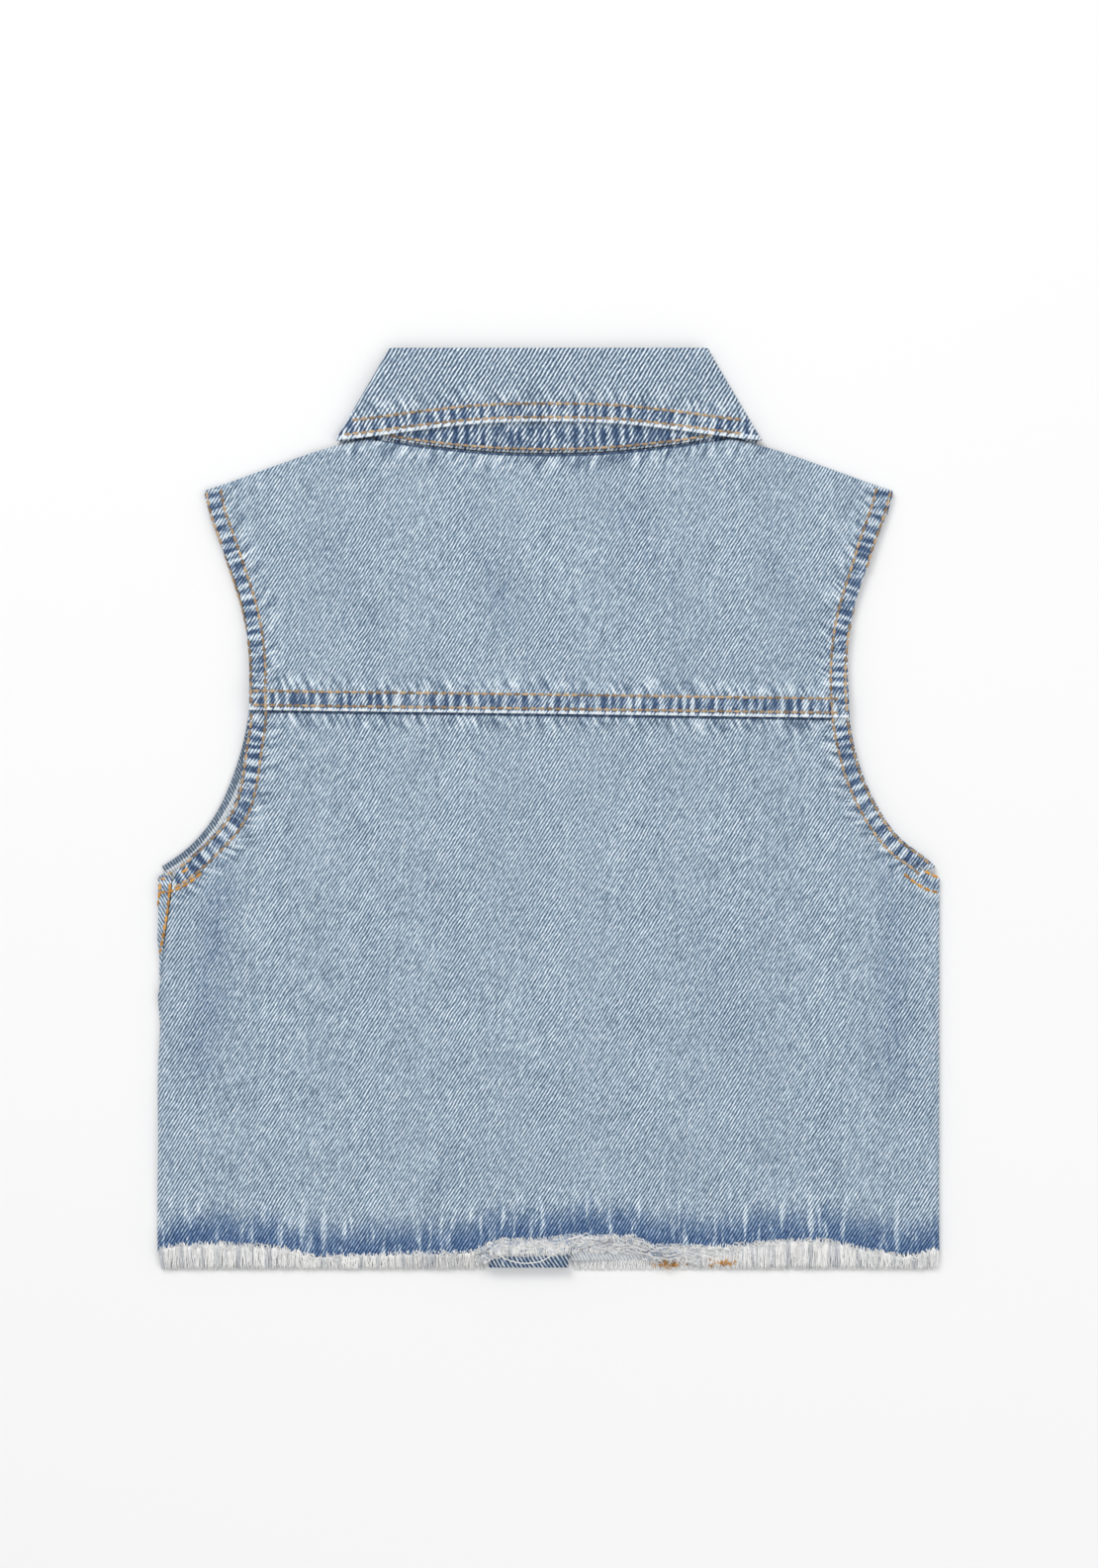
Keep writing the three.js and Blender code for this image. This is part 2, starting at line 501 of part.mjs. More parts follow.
// A place on the collar. station says where it is round the neck, and ply gives its drop from the
// crest, 0, to the lower edge, 1, whether it is on the inner or the outer leaf, and its distance
// from the height about which the collar turns at its sides.
function collarPoint(station, ply) {
  const { part, share, side } = station;
  const { drop, outer, radius, rise = 0 } = ply;
  const sideX = outer ? mix(CREST_X, LEAF_SIDE.x, drop) : mix(CREST_X - 2.4, NECK_X - 1, drop);
  const sideY = outer ? mix(CREST_Y, LEAF_SIDE.y, drop) : mix(CREST_Y, STAND_SIDE_Y, drop);
  const reach = sideX - radius;
  if (part === 'turn') {
    const angle = Math.PI * share;
    return new THREE.Vector3(side * (reach + radius * Math.sin(angle)), sideY + rise,
      COLLAR_MIDDLE + radius * Math.cos(angle));
  }
  if (part === 'back') {
    const low = outer ? leafEdgeY(share * LEAF_SIDE.x) : backNeckY(share * NECK_X) + SEAM_GAP;
    return new THREE.Vector3(side * share * reach, mix(CREST_Y, low, drop) + rise, COLLAR_MIDDLE + radius);
  }
  const x = mix(reach, outer ? mix(COLLAR_FRONT.x, COLLAR_POINT.x, drop) : COLLAR_FRONT.x, share);
  const crest = COLLAR_FRONT.crestY + (CREST_Y - COLLAR_FRONT.crestY) * (1 - Math.sin(share * Math.PI / 2));
  const low = outer ? mix(LEAF_SIDE.y, COLLAR_POINT.y, share) - 4 * Math.sin(Math.PI * share)
    : frontNeckY(x) + SEAM_GAP;
  return new THREE.Vector3(side * x, mix(crest, low, drop) + rise, COLLAR_MIDDLE - radius);
}

// Stations round the collar, from the front on the left, over the back, to the front on the right.
function collarStations(backSteps, frontSteps) {
  const half = [];
  for (let k = frontSteps; k >= 1; k -= 1) half.push({ part: 'front', share: k / frontSteps, side: -1 });
  for (let k = 5; k >= 0; k -= 1) half.push({ part: 'turn', share: k / 5, side: -1 });
  for (let k = backSteps - 1; k > 0; k -= 1) half.push({ part: 'back', share: k / backSteps, side: -1 });
  const other = [...half].reverse().map((s) => ({ ...s, side: 1 }));
  return [...half, { part: 'back', share: 0, side: 1 }, ...other];
}

// Each row of a collar piece gives the plies of its outer and its inner face.
function collarWall(name, plies) {
  const stations = collarStations(7, 8);
  const at = (i, j) => ({
    outer: collarPoint(stations[i], plies[j].outer), inner: collarPoint(stations[i], plies[j].inner),
  });
  return wall(name, stations.length - 1, plies.length - 1, at, finishes.collar);
}

const innerRadius = { low: SEAM_GAP / 2, high: SEAM_GAP / 2 + STAND_PLY };
const leafRadius = { low: innerRadius.high + SEAM_GAP, high: innerRadius.high + SEAM_GAP + LEAF_PLY };
const standTop = 1 - STAND_SHARE;

function buildStand() {
  return collarWall('collar_stand', [1, 0.66, 0.33, 0].map((t) => ({
    outer: { drop: mix(standTop, 1, t), outer: false, radius: innerRadius.high },
    inner: { drop: mix(standTop, 1, t), outer: false, radius: innerRadius.low },
  })));
}

// The leaf rises from the stand, turns over the crest and falls outside it.
function buildLeaf() {
  const rising = [standTop - 0.01, standTop / 2, 0.02].map((drop) => ({
    outer: { drop, outer: false, radius: innerRadius.high },
    inner: { drop, outer: false, radius: innerRadius.low },
  }));
  const falling = [0.02, 0.2, 0.4, 0.6, 0.8, 1].map((drop) => ({
    outer: { drop, outer: true, radius: leafRadius.high },
    inner: { drop, outer: true, radius: leafRadius.low },
  }));
  const middle = (innerRadius.high + leafRadius.low) / 2;
  const crest = [0.25, 0.5, 0.75].map((turn) => {
    const angle = Math.PI * turn;
    const inner = { drop: 0, outer: turn > 0.5, radius: middle - (SEAM_GAP / 2) * Math.cos(angle),
      rise: -1 + SEAM_GAP / 2 * Math.sin(angle) };
    const outer = { drop: 0, outer: turn > 0.5, rise: CREST_RISE * Math.sin(angle),
      radius: middle - (turn > 0.5 ? leafRadius.high - middle : middle - innerRadius.low) * Math.cos(angle) };
    return { outer, inner };
  });
  const swap = ({ outer, inner }) => ({ outer: inner, inner: outer });
  return collarWall('collar_leaf', [...rising.map(swap), ...crest, ...falling]);
}

// A frayed edge: a narrow strip just off the cloth with its loose threads fused to it. edge gives a
// point of the cloth's edge at each of the places, and tipZ the height of the threads' ends.
function buildFringe(name, places, edge, tipZ, count) {
  const corners = places.map(edge);
  const segments = corners.length - 1;
  const strip = wall(name, segments, 1, (i, j) => {
    const p = corners[i];
    const y = p.y - SEAM_GAP - (1 - j) * FRINGE.strip;
    return { outer: new THREE.Vector3(p.x, y, p.z + CLOTH / 2), inner: new THREE.Vector3(p.x, y, p.z - CLOTH / 2) };
  }, finishes.fringe);
  let solid = solidOf(strip.geometry);
  for (let k = 0; k < count; k += 1) {
    const place = segments * (k + 0.5) / count;
    const before = Math.floor(place);
    const root = corners[before].clone().lerp(corners[before + 1], place - before);
    const sway = 1.6 * Math.sin(k * 2.4) + 0.8 * Math.sin(k * 0.7);
    const short = 1.3 * (0.5 + 0.5 * Math.sin(k * 1.9 + 1));
    const start = new THREE.Vector3(root.x, root.y - SEAM_GAP - FRINGE.strip / 2, root.z);
    const tipX = root.x + sway * Math.min(1, 8 * (k + 0.5) / count, 8 * (count - k - 0.5) / count);
    const tip = new THREE.Vector3(tipX, BOTTOM_Y + short, Math.min(root.z, tipZ(tipX)));
    const lane = k % 2 === 0 ? 0.12 : -0.12;
    start.z += lane;
    const curve = new THREE.LineCurve3(start, tip);
    const thread = new THREE.ExtrudeGeometry(threadShape(), { steps: 1, bevelEnabled: false, extrudePath: curve });
    solid = solid.add(solidOf(thread));
  }
  return named(name, geometryOf(solid), finishes.fringe);
}

function threadShape() {
  const r = FRINGE.radius;
  return new THREE.Shape([0, 1, 2].map((k) => {
    const angle = 2 * Math.PI * k / 3;
    return new THREE.Vector2(r * Math.cos(angle), r * Math.sin(angle));
  }));
}

function backHemPoint(x) {
  const y = along(hemSections, 'x', x, 'y');
  return new THREE.Vector3(x, y, backZ(x, y) + CLOTH / 2);
}

const frontHemPoint = (x) => new THREE.Vector3(x, FRONT_HEM_Y, frontZ(x, FRONT_HEM_Y) + CLOTH / 2);

const vest = new THREE.Group();
vest.add(buildBackPanel(), buildYoke(), buildFront('front_left', -1), buildFront('front_right', 1));
vest.add(bandGeometry('placket_left', true), buildRightBand());
vest.add(...buttonHeights.map(buildButton));
vest.add(buildStand(), buildLeaf());
const evenly = (from, to, count) => Array.from({ length: count + 1 }, (_, k) => mix(from, to, k / count));
const besideBand = BAND_WIDTH / 2 + 2;
const backPlaces = backSteps(FRONT_HEM_Y).filter((x) => Math.abs(x) < FOLD_X);
const overFronts = (x) => FRINGE.radius + SEAM_GAP
  + (Math.abs(x - bandX(BOTTOM_Y)) < BAND_WIDTH / 2 + 5 ? UNDER_LIFT + LAP_LIFT + BAND_PLY
    : CLOTH + Math.max(...[-5, 0, 5].map((d) => frontZ(x + d, FRONT_HEM_Y))));
const overFloor = () => FRINGE.floor + FRINGE.radius;
vest.add(buildFringe('back_hem_fringe', backPlaces, backHemPoint, overFronts, FRINGE.backStrands));
for (const [side, name] of [[-1, 'left'], [1, 'right']]) {
  const places = evenly(bandX(FRONT_HEM_Y) + side * besideBand, side * FOLD_X, 12);
  vest.add(buildFringe(`front_hem_fringe_${name}`, places, frontHemPoint, overFloor, FRINGE.frontStrands));
}
export default vest;
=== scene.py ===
# %% [markdown]
# # A denim vest, laid flat with its back up
# The real object is a child's cropped vest of light-washed cotton denim. It lies face down, so the
# camera sees the folded collar, the yoke, the lower back and the frayed hem. The construction comes
# from a fixed frame of solids, and this notebook gives each solid its cloth, thread, yarn or metal.

# %% Load the frame
import bpy
import math
import numpy as np
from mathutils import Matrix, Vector, noise
from mathutils.bvhtree import BVHTree


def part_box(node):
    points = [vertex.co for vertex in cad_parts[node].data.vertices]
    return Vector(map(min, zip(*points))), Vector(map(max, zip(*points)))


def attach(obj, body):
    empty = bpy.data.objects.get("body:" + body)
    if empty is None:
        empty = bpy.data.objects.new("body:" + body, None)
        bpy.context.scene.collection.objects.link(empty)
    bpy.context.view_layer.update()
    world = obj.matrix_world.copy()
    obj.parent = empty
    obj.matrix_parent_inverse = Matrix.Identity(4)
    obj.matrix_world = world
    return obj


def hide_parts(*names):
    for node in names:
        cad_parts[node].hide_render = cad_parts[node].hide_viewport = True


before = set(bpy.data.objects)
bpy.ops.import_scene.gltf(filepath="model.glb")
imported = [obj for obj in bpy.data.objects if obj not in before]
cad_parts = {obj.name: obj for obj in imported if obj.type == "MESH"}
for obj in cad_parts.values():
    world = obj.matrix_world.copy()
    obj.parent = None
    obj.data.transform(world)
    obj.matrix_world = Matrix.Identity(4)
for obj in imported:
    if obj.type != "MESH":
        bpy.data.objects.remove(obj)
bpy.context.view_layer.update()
MM = 0.001

# %% [markdown]
# ## The sizes that the looks hang on
# Seams, rows of stitches and puckers all follow the cut edges of the cloth, so these edges are
# written down once, as short tables in millimetres. Every stitch and every crease is then placed by
# its distance from an edge, as a machinist places a row of stitches by the edge of the cloth.

# %% Named sizes and edges, in millimetres
FOLD_X = 175.6
FOLD_MIDDLE_Z = 2.15
SEAM_LEFT_Y, SEAM_RIGHT_Y = 45.5, 41.9
ROW_GAP = 6.4
STITCH_LENGTH = 3.7
print("stitches to ten millimetres", round(10 / STITCH_LENGTH, 1))

# %% [markdown]
# Each armhole is a table of heights with the left and the right edge. The back's edge and the edge of the
# fronts below it aren't the same, because the vest doesn't lie quite square, and the camera sees both.

# %% Edges of the cut pieces, in millimetres
ARMHOLE = np.array([
    (144.9, -156.4, 156.4), (134.6, -154.6, 153.7), (121.1, -149.6, 148.7), (107.6, -145.1, 144.7),
    (94.1, -140.6, 140.2), (80.6, -137.5, 137.0), (67.1, -136.1, 135.7), (53.6, -136.0, 135.6),
    (40.1, -135.8, 136.6), (30.0, -137.6, 138.6), (17.0, -139.2, 142.0), (4.0, -141.8, 147.8),
    (-6.0, -147.4, 153.9), (-14.0, -155.2, 160.4), (-20.7, -162.2, 170.6), (-25.5, -168.0, 175.6),
    (-30.0, -176.5, 178.0),
])
FRONT_ARMHOLE = np.array([
    (144.9, -156.4, 156.4), (134.6, -153.6, 152.7), (121.1, -148.2, 147.3), (107.6, -143.6, 143.0),
    (94.1, -139.2, 138.6), (80.6, -136.2, 135.2), (67.1, -134.9, 133.8), (53.6, -135.0, 133.4),
    (40.1, -135.6, 133.9), (30.0, -138.2, 135.5), (17.0, -142.0, 138.9), (4.0, -147.6, 144.4),
    (-6.0, -153.8, 150.6), (-14.0, -160.2, 158.0), (-20.7, -168.0, 168.0), (-25.5, -175.6, 175.6),
])
HEM = np.array([
    (-178, -200.7), (-168, -198.5), (-149, -197.9), (-124, -199.6), (-106, -203.7), (-82, -203.2),
    (-61, -202.2), (-37, -201.7), (-21, -196.0), (0, -195.6), (12, -194.2), (38, -194.8), (48, -199.2),
    (84, -199.4), (106, -196.4), (127, -196.8), (148, -201.4), (162, -203.6), (178, -200.0),
])
NECK = np.array([(0, 161.6), (20, 162.0), (37, 163.2), (60, 165.8), (80, 169.2), (97, 169.6)])
LEAF_EDGE = np.array([(0, 176.4), (20, 176.2), (37, 175.2), (60, 172.6), (80, 169.8), (97, 168.0)])


# %% [markdown]
# A table becomes a line by reading between its rows. These small functions give the height of an edge
# at any place across the vest, for one number or for a whole array of them.

# %% Heights of the edges
def seam_y(x):
    """Height of the yoke's lower edge, in mm."""
    return SEAM_LEFT_Y + (SEAM_RIGHT_Y - SEAM_LEFT_Y) * (np.asarray(x) + 135) / 270


def hem_y(x):
    """Height of the back's raw edge, in mm."""
    return np.interp(x, HEM[:, 0], HEM[:, 1])


def neck_y(x):
    """Height of the neck seam, in mm."""
    return np.interp(np.abs(x), NECK[:, 0], NECK[:, 1])


def leaf_y(x):
    """Height of the collar leaf's lower edge, in mm."""
    return np.interp(np.abs(x), LEAF_EDGE[:, 0], LEAF_EDGE[:, 1])


def smooth_step(value, low, high):
    """From 0 to 1 between two values, with soft ends."""
    t = np.clip((np.asarray(value, float) - low) / (high - low), 0, 1)
    return t * t * (3 - 2 * t)


# %% [markdown]
# Sewing follows an edge at a fixed distance. So a line is cut into even steps, moved sideways, and every
# point of the cloth is given its distance to the line. A curve object could carry the stitches instead,
# but arrays keep the same lengths for the paint, the puckers and the thread.

# %% Lines, lines beside them and distances
def even_points(points, spacing):
    """Points along a smooth line through the given ones, an even spacing apart."""
    points = np.asarray(points, float)
    run = np.concatenate([[0], np.cumsum(np.linalg.norm(np.diff(points, axis=0), axis=1))])
    dense = np.linspace(0, run[-1], max(2, int(run[-1] / 0.5)))
    line = np.stack([np.interp(dense, run, points[:, k]) for k in range(points.shape[1])], 1)
    kernel = np.ones(13) / 13
    padded = np.pad(line, ((6, 6), (0, 0)), mode="reflect", reflect_type="odd")
    line = np.stack([np.convolve(padded[:, k], kernel, "valid") for k in range(line.shape[1])], 1)
    run = np.concatenate([[0], np.cumsum(np.linalg.norm(np.diff(line, axis=0), axis=1))])
    at = np.arange(0, run[-1], spacing)
    return np.stack([np.interp(at, run, line[:, k]) for k in range(line.shape[1])], 1)


def offset_line(line, distance):
    """A line beside another in the plane, to its left for a positive distance."""
    along = np.gradient(line, axis=0)
    along /= np.linalg.norm(along, axis=1)[:, None]
    return line + distance * np.stack([-along[:, 1], along[:, 0]], 1)


def nearest_on(line, points):
    """Distance from each point to a line of points, and the length along it to the nearest one."""
    run = np.concatenate([[0], np.cumsum(np.linalg.norm(np.diff(line, axis=0), axis=1))])
    best = np.full(len(points), 1e9)
    where = np.zeros(len(points))
    for k in range(len(line) - 1):
        a, b = line[k], line[k + 1]
        span = b - a
        t = np.clip((points - a) @ span / (span @ span), 0, 1)
        d = np.linalg.norm(points - (a + t[:, None] * span), axis=1)
        closer = d < best
        best[closer] = d[closer]
        where[closer] = (run[k] + t * (run[k + 1] - run[k]))[closer]
    return best, where


left_armhole = even_points(ARMHOLE[:, [1, 0]], 3.0)
right_armhole = even_points(ARMHOLE[:, [2, 0]], 3.0)
left_front_armhole = even_points(FRONT_ARMHOLE[:, [1, 0]], 3.0)
right_front_armhole = even_points(FRONT_ARMHOLE[:, [2, 0]], 3.0)
print("armhole edge in mm", round(3.0 * len(left_armhole)), "and", round(3.0 * len(right_armhole)))

# %% [markdown]
# ## Camera, floor and light
# The vest was photographed from straight above, through a long lens, on white. A long lens far away
# keeps the edges of a flat thing straight. Two big soft lamps and a pale world give the flat light of
# a product table, a little stronger from the collar's side, so that folds still have a dark side.

# %% Camera
PICTURE_HEIGHT = 1585
MM_PER_PIXEL = 0.45
CAMERA_HEIGHT = 2.6
view_height = PICTURE_HEIGHT * MM_PER_PIXEL * MM
camera_data = bpy.data.cameras.new("camera")
camera_data.sensor_fit = "VERTICAL"
camera_data.sensor_height = 24
camera_data.lens = camera_data.sensor_height * CAMERA_HEIGHT / view_height
camera = bpy.data.objects.new("camera", camera_data)
camera.location = (0.2 * MM, 11.9 * MM, CAMERA_HEIGHT)
bpy.context.scene.collection.objects.link(camera)
bpy.context.scene.camera = camera
print("lens in mm", round(camera_data.lens, 1))


# %% [markdown]
# Colours are picked as a screen shows them and turned to the linear values that light is added in. All
# the shader trees are built by one small function, so that each pattern reads as a list of steps.

# %% Colours and nodes
def linear(hex_colour):
    """An sRGB hex colour as the linear values that shaders use."""
    values = [int(hex_colour[k:k + 2], 16) / 255 for k in (1, 3, 5)]
    return [v / 12.92 if v <= 0.04045 else ((v + 0.055) / 1.055) ** 2.4 for v in values] + [1.0]


def new_material(name):
    material = bpy.data.materials.new(name)
    material.use_nodes = True
    return material, material.node_tree.nodes["Principled BSDF"]


def add_node(material, kind, feeds=None, stops=None, **settings):
    """Adds a node with its properties, its inputs (numbers, nodes or outputs) and a ramp's stops."""
    node = material.node_tree.nodes.new(kind)
    for key, value in settings.items():
        setattr(node, key, value)
    for key, value in (feeds or {}).items():
        source = value.outputs[0] if isinstance(value, bpy.types.Node) else value
        if isinstance(source, bpy.types.NodeSocket):
            material.node_tree.links.new(source, node.inputs[key])
        else:
            node.inputs[key].default_value = source
    if stops:
        ramp = node.color_ramp
        for element, (place, colour) in ((ramp.elements[0], stops[0]), (ramp.elements[-1], stops[-1])):
            element.position = place
            element.color = linear(colour)
        for place, colour in stops[1:-1]:
            ramp.elements.new(place).color = linear(colour)
    return node


# %% [markdown]
# The table is one matt white plane, and no part of the vest. Area lamps are
# used rather than a sun, since their width gives the soft edges that a shadow has near a window.

# %% Floor and lamps
def deselect():
    bpy.ops.object.select_all(action="DESELECT")


deselect()
bpy.ops.mesh.primitive_plane_add(size=6, location=(0, 0, 0))
floor = bpy.context.object
floor.name = "floor"
floor_material, floor_shader = new_material("matt_white_table")
floor_shader.inputs["Base Color"].default_value = linear("#f4f4f4")
floor_shader.inputs["Roughness"].default_value = 0.9
floor.data.materials.append(floor_material)


def add_lamp(name, place, size, power):
    lamp = bpy.data.lights.new(name, "AREA")
    lamp.size = size
    lamp.energy = power
    lamp_object = bpy.data.objects.new(name, lamp)
    lamp_object.location = place
    lamp_object.rotation_euler = (-Vector(place)).to_track_quat("-Z", "Y").to_euler()
    bpy.context.scene.collection.objects.link(lamp_object)


add_lamp("key_lamp", (-0.7, 1.5, 1.9), 1.2, 26)
add_lamp("fill_lamp", (1.2, -0.5, 2.1), 2.0, 14)
world = bpy.data.worlds.new("pale_room")
bpy.context.scene.world = world
world.use_nodes = True
world.node_tree.nodes["Background"].inputs["Color"].default_value = (1, 1, 1, 1)
world.node_tree.nodes["Background"].inputs["Strength"].default_value = 0.62
bpy.context.scene.view_settings.view_transform = "Standard"

# %% [markdown]
# ## Denim
# Denim is a cotton twill: blue warp yarns pass over three white weft yarns and under one, each row a
# yarn further, so diagonal wales run up to the right. Its washing leaves the tops of the wales nearly
# white and the hollows blue. Indigo stays dark beside seams, where the doubled cloth can't rub, and
# the puckers there stand out as pale ridges. The pattern is worked out from the yarn spacing, and the
# wear reads two lengths kept on every point: how far it is from a stitched edge and how far along it.

# %% The twill weave
# The real wales are 1.0 mm apart on the body and 1.2 mm on the collar, too fine for the render's
# pixels, so they are drawn a third coarser.
WALE_SPACING, COLLAR_WALE_SPACING = 1.3, 1.6
WALE_ANGLE = math.radians(58)
RIDGE_TONE, DASH_TONE, SLUB_TONE, CLOUD_TONE = 0.38, 1.3, 0.16, 0.17


def twill(material, in_mm, angle, contrast, spacing, middle):
    """How light each spot of the weave is, from 0 in the blue hollows to 1 on the white tops."""
    turned = add_node(material, "ShaderNodeVectorRotate", {"Vector": in_mm, "Angle": -angle},
                      rotation_type="Z_AXIS")
    across = add_node(material, "ShaderNodeSeparateXYZ", {0: turned}).outputs["Y"]
    bend = add_node(material, "ShaderNodeTexNoise", {"Vector": in_mm, "Scale": 0.12, "Detail": 1.0})
    across = add_node(material, "ShaderNodeMath", {0: bend, 1: 1.1, 2: across}, operation="MULTIPLY_ADD")
    turns = add_node(material, "ShaderNodeMath", {0: across, 1: 2 * math.pi / spacing},
                     operation="MULTIPLY")
    ridge = add_node(material, "ShaderNodeMath", {0: turns}, operation="SINE")
    # Each yarn's float shows as a short dash, two or three millimetres long, along its wale.
    dashes_at = add_node(material, "ShaderNodeVectorMath", {0: turned, 1: (0.45, 1.1, 1.0)},
                         operation="MULTIPLY")
    dashes = add_node(material, "ShaderNodeTexNoise", {"Vector": dashes_at, "Scale": 1.0, "Detail": 2.0,
                                                       "Roughness": 0.7})
    # Uneven warp yarns leave faint upright streaks, and the wash leaves faint clouds.
    slubs_at = add_node(material, "ShaderNodeVectorMath", {0: in_mm, 1: (0.8, 0.06, 1.0)},
                        operation="MULTIPLY")
    slubs = add_node(material, "ShaderNodeTexNoise", {"Vector": slubs_at, "Scale": 1.0, "Detail": 2.0})
    clouds = add_node(material, "ShaderNodeTexNoise", {"Vector": in_mm, "Scale": 0.045, "Detail": 4.0,
                                                       "Roughness": 0.65})
    tone = add_node(material, "ShaderNodeMath", {0: ridge, 1: RIDGE_TONE * contrast, 2: middle},
                    operation="MULTIPLY_ADD")
    for source, share in ((dashes, DASH_TONE * contrast), (slubs, SLUB_TONE), (clouds, CLOUD_TONE)):
        swing = add_node(material, "ShaderNodeMath", {0: source, 1: 0.5}, operation="SUBTRACT")
        tone = add_node(material, "ShaderNodeMath", {0: swing, 1: share, 2: tone},
                        operation="MULTIPLY_ADD")
    return tone


# %% [markdown]
# Puckers are the sign of a washed seam. Their pitch along a row is about five millimetres, but it
# wanders, so the phase is bent by two slow sines. The same sum is written twice, here in nodes to
# colour the cloth and further down in Python to lift it, so that paint and form agree.

# %% Sizes of the puckers
PUCKER_PITCH = 5.0
PUCKER_LEAN = 0.45
ROPE_TONE, ROPE_SHADE, ROPE_DYE = 0.42, -0.23, 0.36
SMUDGE_TONE, STREAK_TONE = 2.1, 0.30
SMUDGE_REACH = 12.0
WANDERS = ((1.2, 0.21, 0.0), (0.7, 0.37, 1.0))
print("puckers to ten centimetres", round(100 / PUCKER_PITCH))


# %% [markdown]
# Between the rows of stitches, dark and pale puckers follow one another. Beyond them they fade to blue
# smudges and thin pale streaks, which lean because the upper ply crept forward while it was sewn.

# %% Puckers, smudges and streaks
def seam_wear(material, tone):
    """Dark and pale puckers in the stitched band, and smudges and pale streaks beyond it."""
    seam = add_node(material, "ShaderNodeAttribute", attribute_name="seam")
    lengths = add_node(material, "ShaderNodeSeparateXYZ", {0: seam.outputs["Vector"]})
    away, along, band = lengths.outputs["X"], lengths.outputs["Y"], lengths.outputs["Z"]
    outside = add_node(material, "ShaderNodeMath", {0: away, 1: band}, operation="SUBTRACT")
    lean = add_node(material, "ShaderNodeMath", {0: outside, 1: 0.0}, operation="MAXIMUM")
    slant = add_node(material, "ShaderNodeMath", {0: lean, 1: PUCKER_LEAN, 2: along},
                     operation="MULTIPLY_ADD")
    phase = add_node(material, "ShaderNodeMath", {0: slant, 1: 2 * math.pi / PUCKER_PITCH},
                     operation="MULTIPLY")
    for reach, rate, start in WANDERS:
        slow = add_node(material, "ShaderNodeMath", {0: along, 1: rate, 2: start}, operation="MULTIPLY_ADD")
        slow = add_node(material, "ShaderNodeMath", {0: slow}, operation="SINE")
        phase = add_node(material, "ShaderNodeMath", {0: slow, 1: reach, 2: phase}, operation="MULTIPLY_ADD")
    wave = add_node(material, "ShaderNodeMath", {0: phase}, operation="SINE")
    smudge_at = add_node(material, "ShaderNodeCombineXYZ", {
        0: add_node(material, "ShaderNodeMath", {0: slant, 1: 0.36}, operation="MULTIPLY"),
        1: add_node(material, "ShaderNodeMath", {0: away, 1: 0.10}, operation="MULTIPLY")})
    smudge = add_node(material, "ShaderNodeTexNoise", {"Vector": smudge_at, "Scale": 1.0, "Detail": 2.0})
    smudge = add_node(material, "ShaderNodeMath", {0: smudge, 1: 0.5}, operation="SUBTRACT")
    wave = add_node(material, "ShaderNodeMath", {0: wave, 1: 0.68}, operation="MULTIPLY")
    pucker = add_node(material, "ShaderNodeMath", {0: smudge, 1: 4.8, 2: wave}, operation="MULTIPLY_ADD")
    pucker = add_node(material, "ShaderNodeClamp", {0: pucker, 1: -1.0, 2: 1.0})
    within = add_node(material, "ShaderNodeMapRange", {0: outside, 1: -0.7, 2: 0.3, 3: 1.0, 4: 0.0},
                      interpolation_type="SMOOTHSTEP")
    beyond = add_node(material, "ShaderNodeMapRange", {0: outside, 1: 0.0, 2: SMUDGE_REACH, 3: 1.0, 4: 0.0},
                      interpolation_type="SMOOTHSTEP")
    # In the narrow bands under the yoke's edge and at the neck, this darker swing paints a shadow line.
    swing = add_node(material, "ShaderNodeMath", {0: tone, 1: 0.25, 2: ROPE_SHADE}, operation="MULTIPLY_ADD")
    swing = add_node(material, "ShaderNodeMath", {0: pucker, 1: ROPE_TONE, 2: swing},
                     operation="MULTIPLY_ADD")
    tone = add_node(material, "ShaderNodeMath", {0: swing, 1: within, 2: tone}, operation="MULTIPLY_ADD")
    outer = add_node(material, "ShaderNodeMath", {0: beyond, 1: within}, operation="SUBTRACT")
    outer = add_node(material, "ShaderNodeMath", {0: outer, 1: 0.0}, operation="MAXIMUM")
    swing = add_node(material, "ShaderNodeMath", {0: smudge, 1: SMUDGE_TONE}, operation="MULTIPLY")
    tone = add_node(material, "ShaderNodeMath", {0: swing, 1: outer, 2: tone}, operation="MULTIPLY_ADD")
    streak_at = add_node(material, "ShaderNodeCombineXYZ", {
        0: add_node(material, "ShaderNodeMath", {0: slant, 1: 0.50}, operation="MULTIPLY"),
        1: add_node(material, "ShaderNodeMath", {0: away, 1: 0.06}, operation="MULTIPLY"), 2: 7.0})
    streak = add_node(material, "ShaderNodeTexNoise", {"Vector": streak_at, "Scale": 1.0, "Detail": 1.0})
    streak = add_node(material, "ShaderNodeMapRange",
                      {0: streak, 1: 0.57, 2: 0.68, 3: -0.03, 4: STREAK_TONE})
    tone = add_node(material, "ShaderNodeMath", {0: streak, 1: outer, 2: tone}, operation="MULTIPLY_ADD")
    dye = add_node(material, "ShaderNodeMath", {0: pucker, 1: -ROPE_DYE, 2: 0.28}, operation="MULTIPLY_ADD")
    dye = add_node(material, "ShaderNodeMath", {0: dye, 1: within}, operation="MULTIPLY", use_clamp=True)
    return tone, dye


# %% [markdown]
# The tops of creases are painted a little paler and their troughs a little bluer, a painted shade for the
# light across the creases. A folded edge is rubbed to a white line, and the cloth just under some edges
# gets a painted dark shadow line. Each could be painted by hand, but lengths kept on the points place
# them exactly.

# %% Creases, and worn and shaded edges
def crease_painted_shading(material, tone, dye):
    """Painted shading of the creases: troughs a little darker and bluer, the tops a little paler."""
    lift = add_node(material, "ShaderNodeAttribute", attribute_name="crease").outputs["Fac"]
    tone = add_node(material, "ShaderNodeMath", {0: lift, 1: 0.08, 2: tone}, operation="MULTIPLY_ADD")
    return tone, add_node(material, "ShaderNodeMath", {0: lift, 1: -0.3, 2: dye}, operation="MULTIPLY_ADD",
                          use_clamp=True)


EDGE_TONE, EDGE_BLUR = 0.72, 0.3


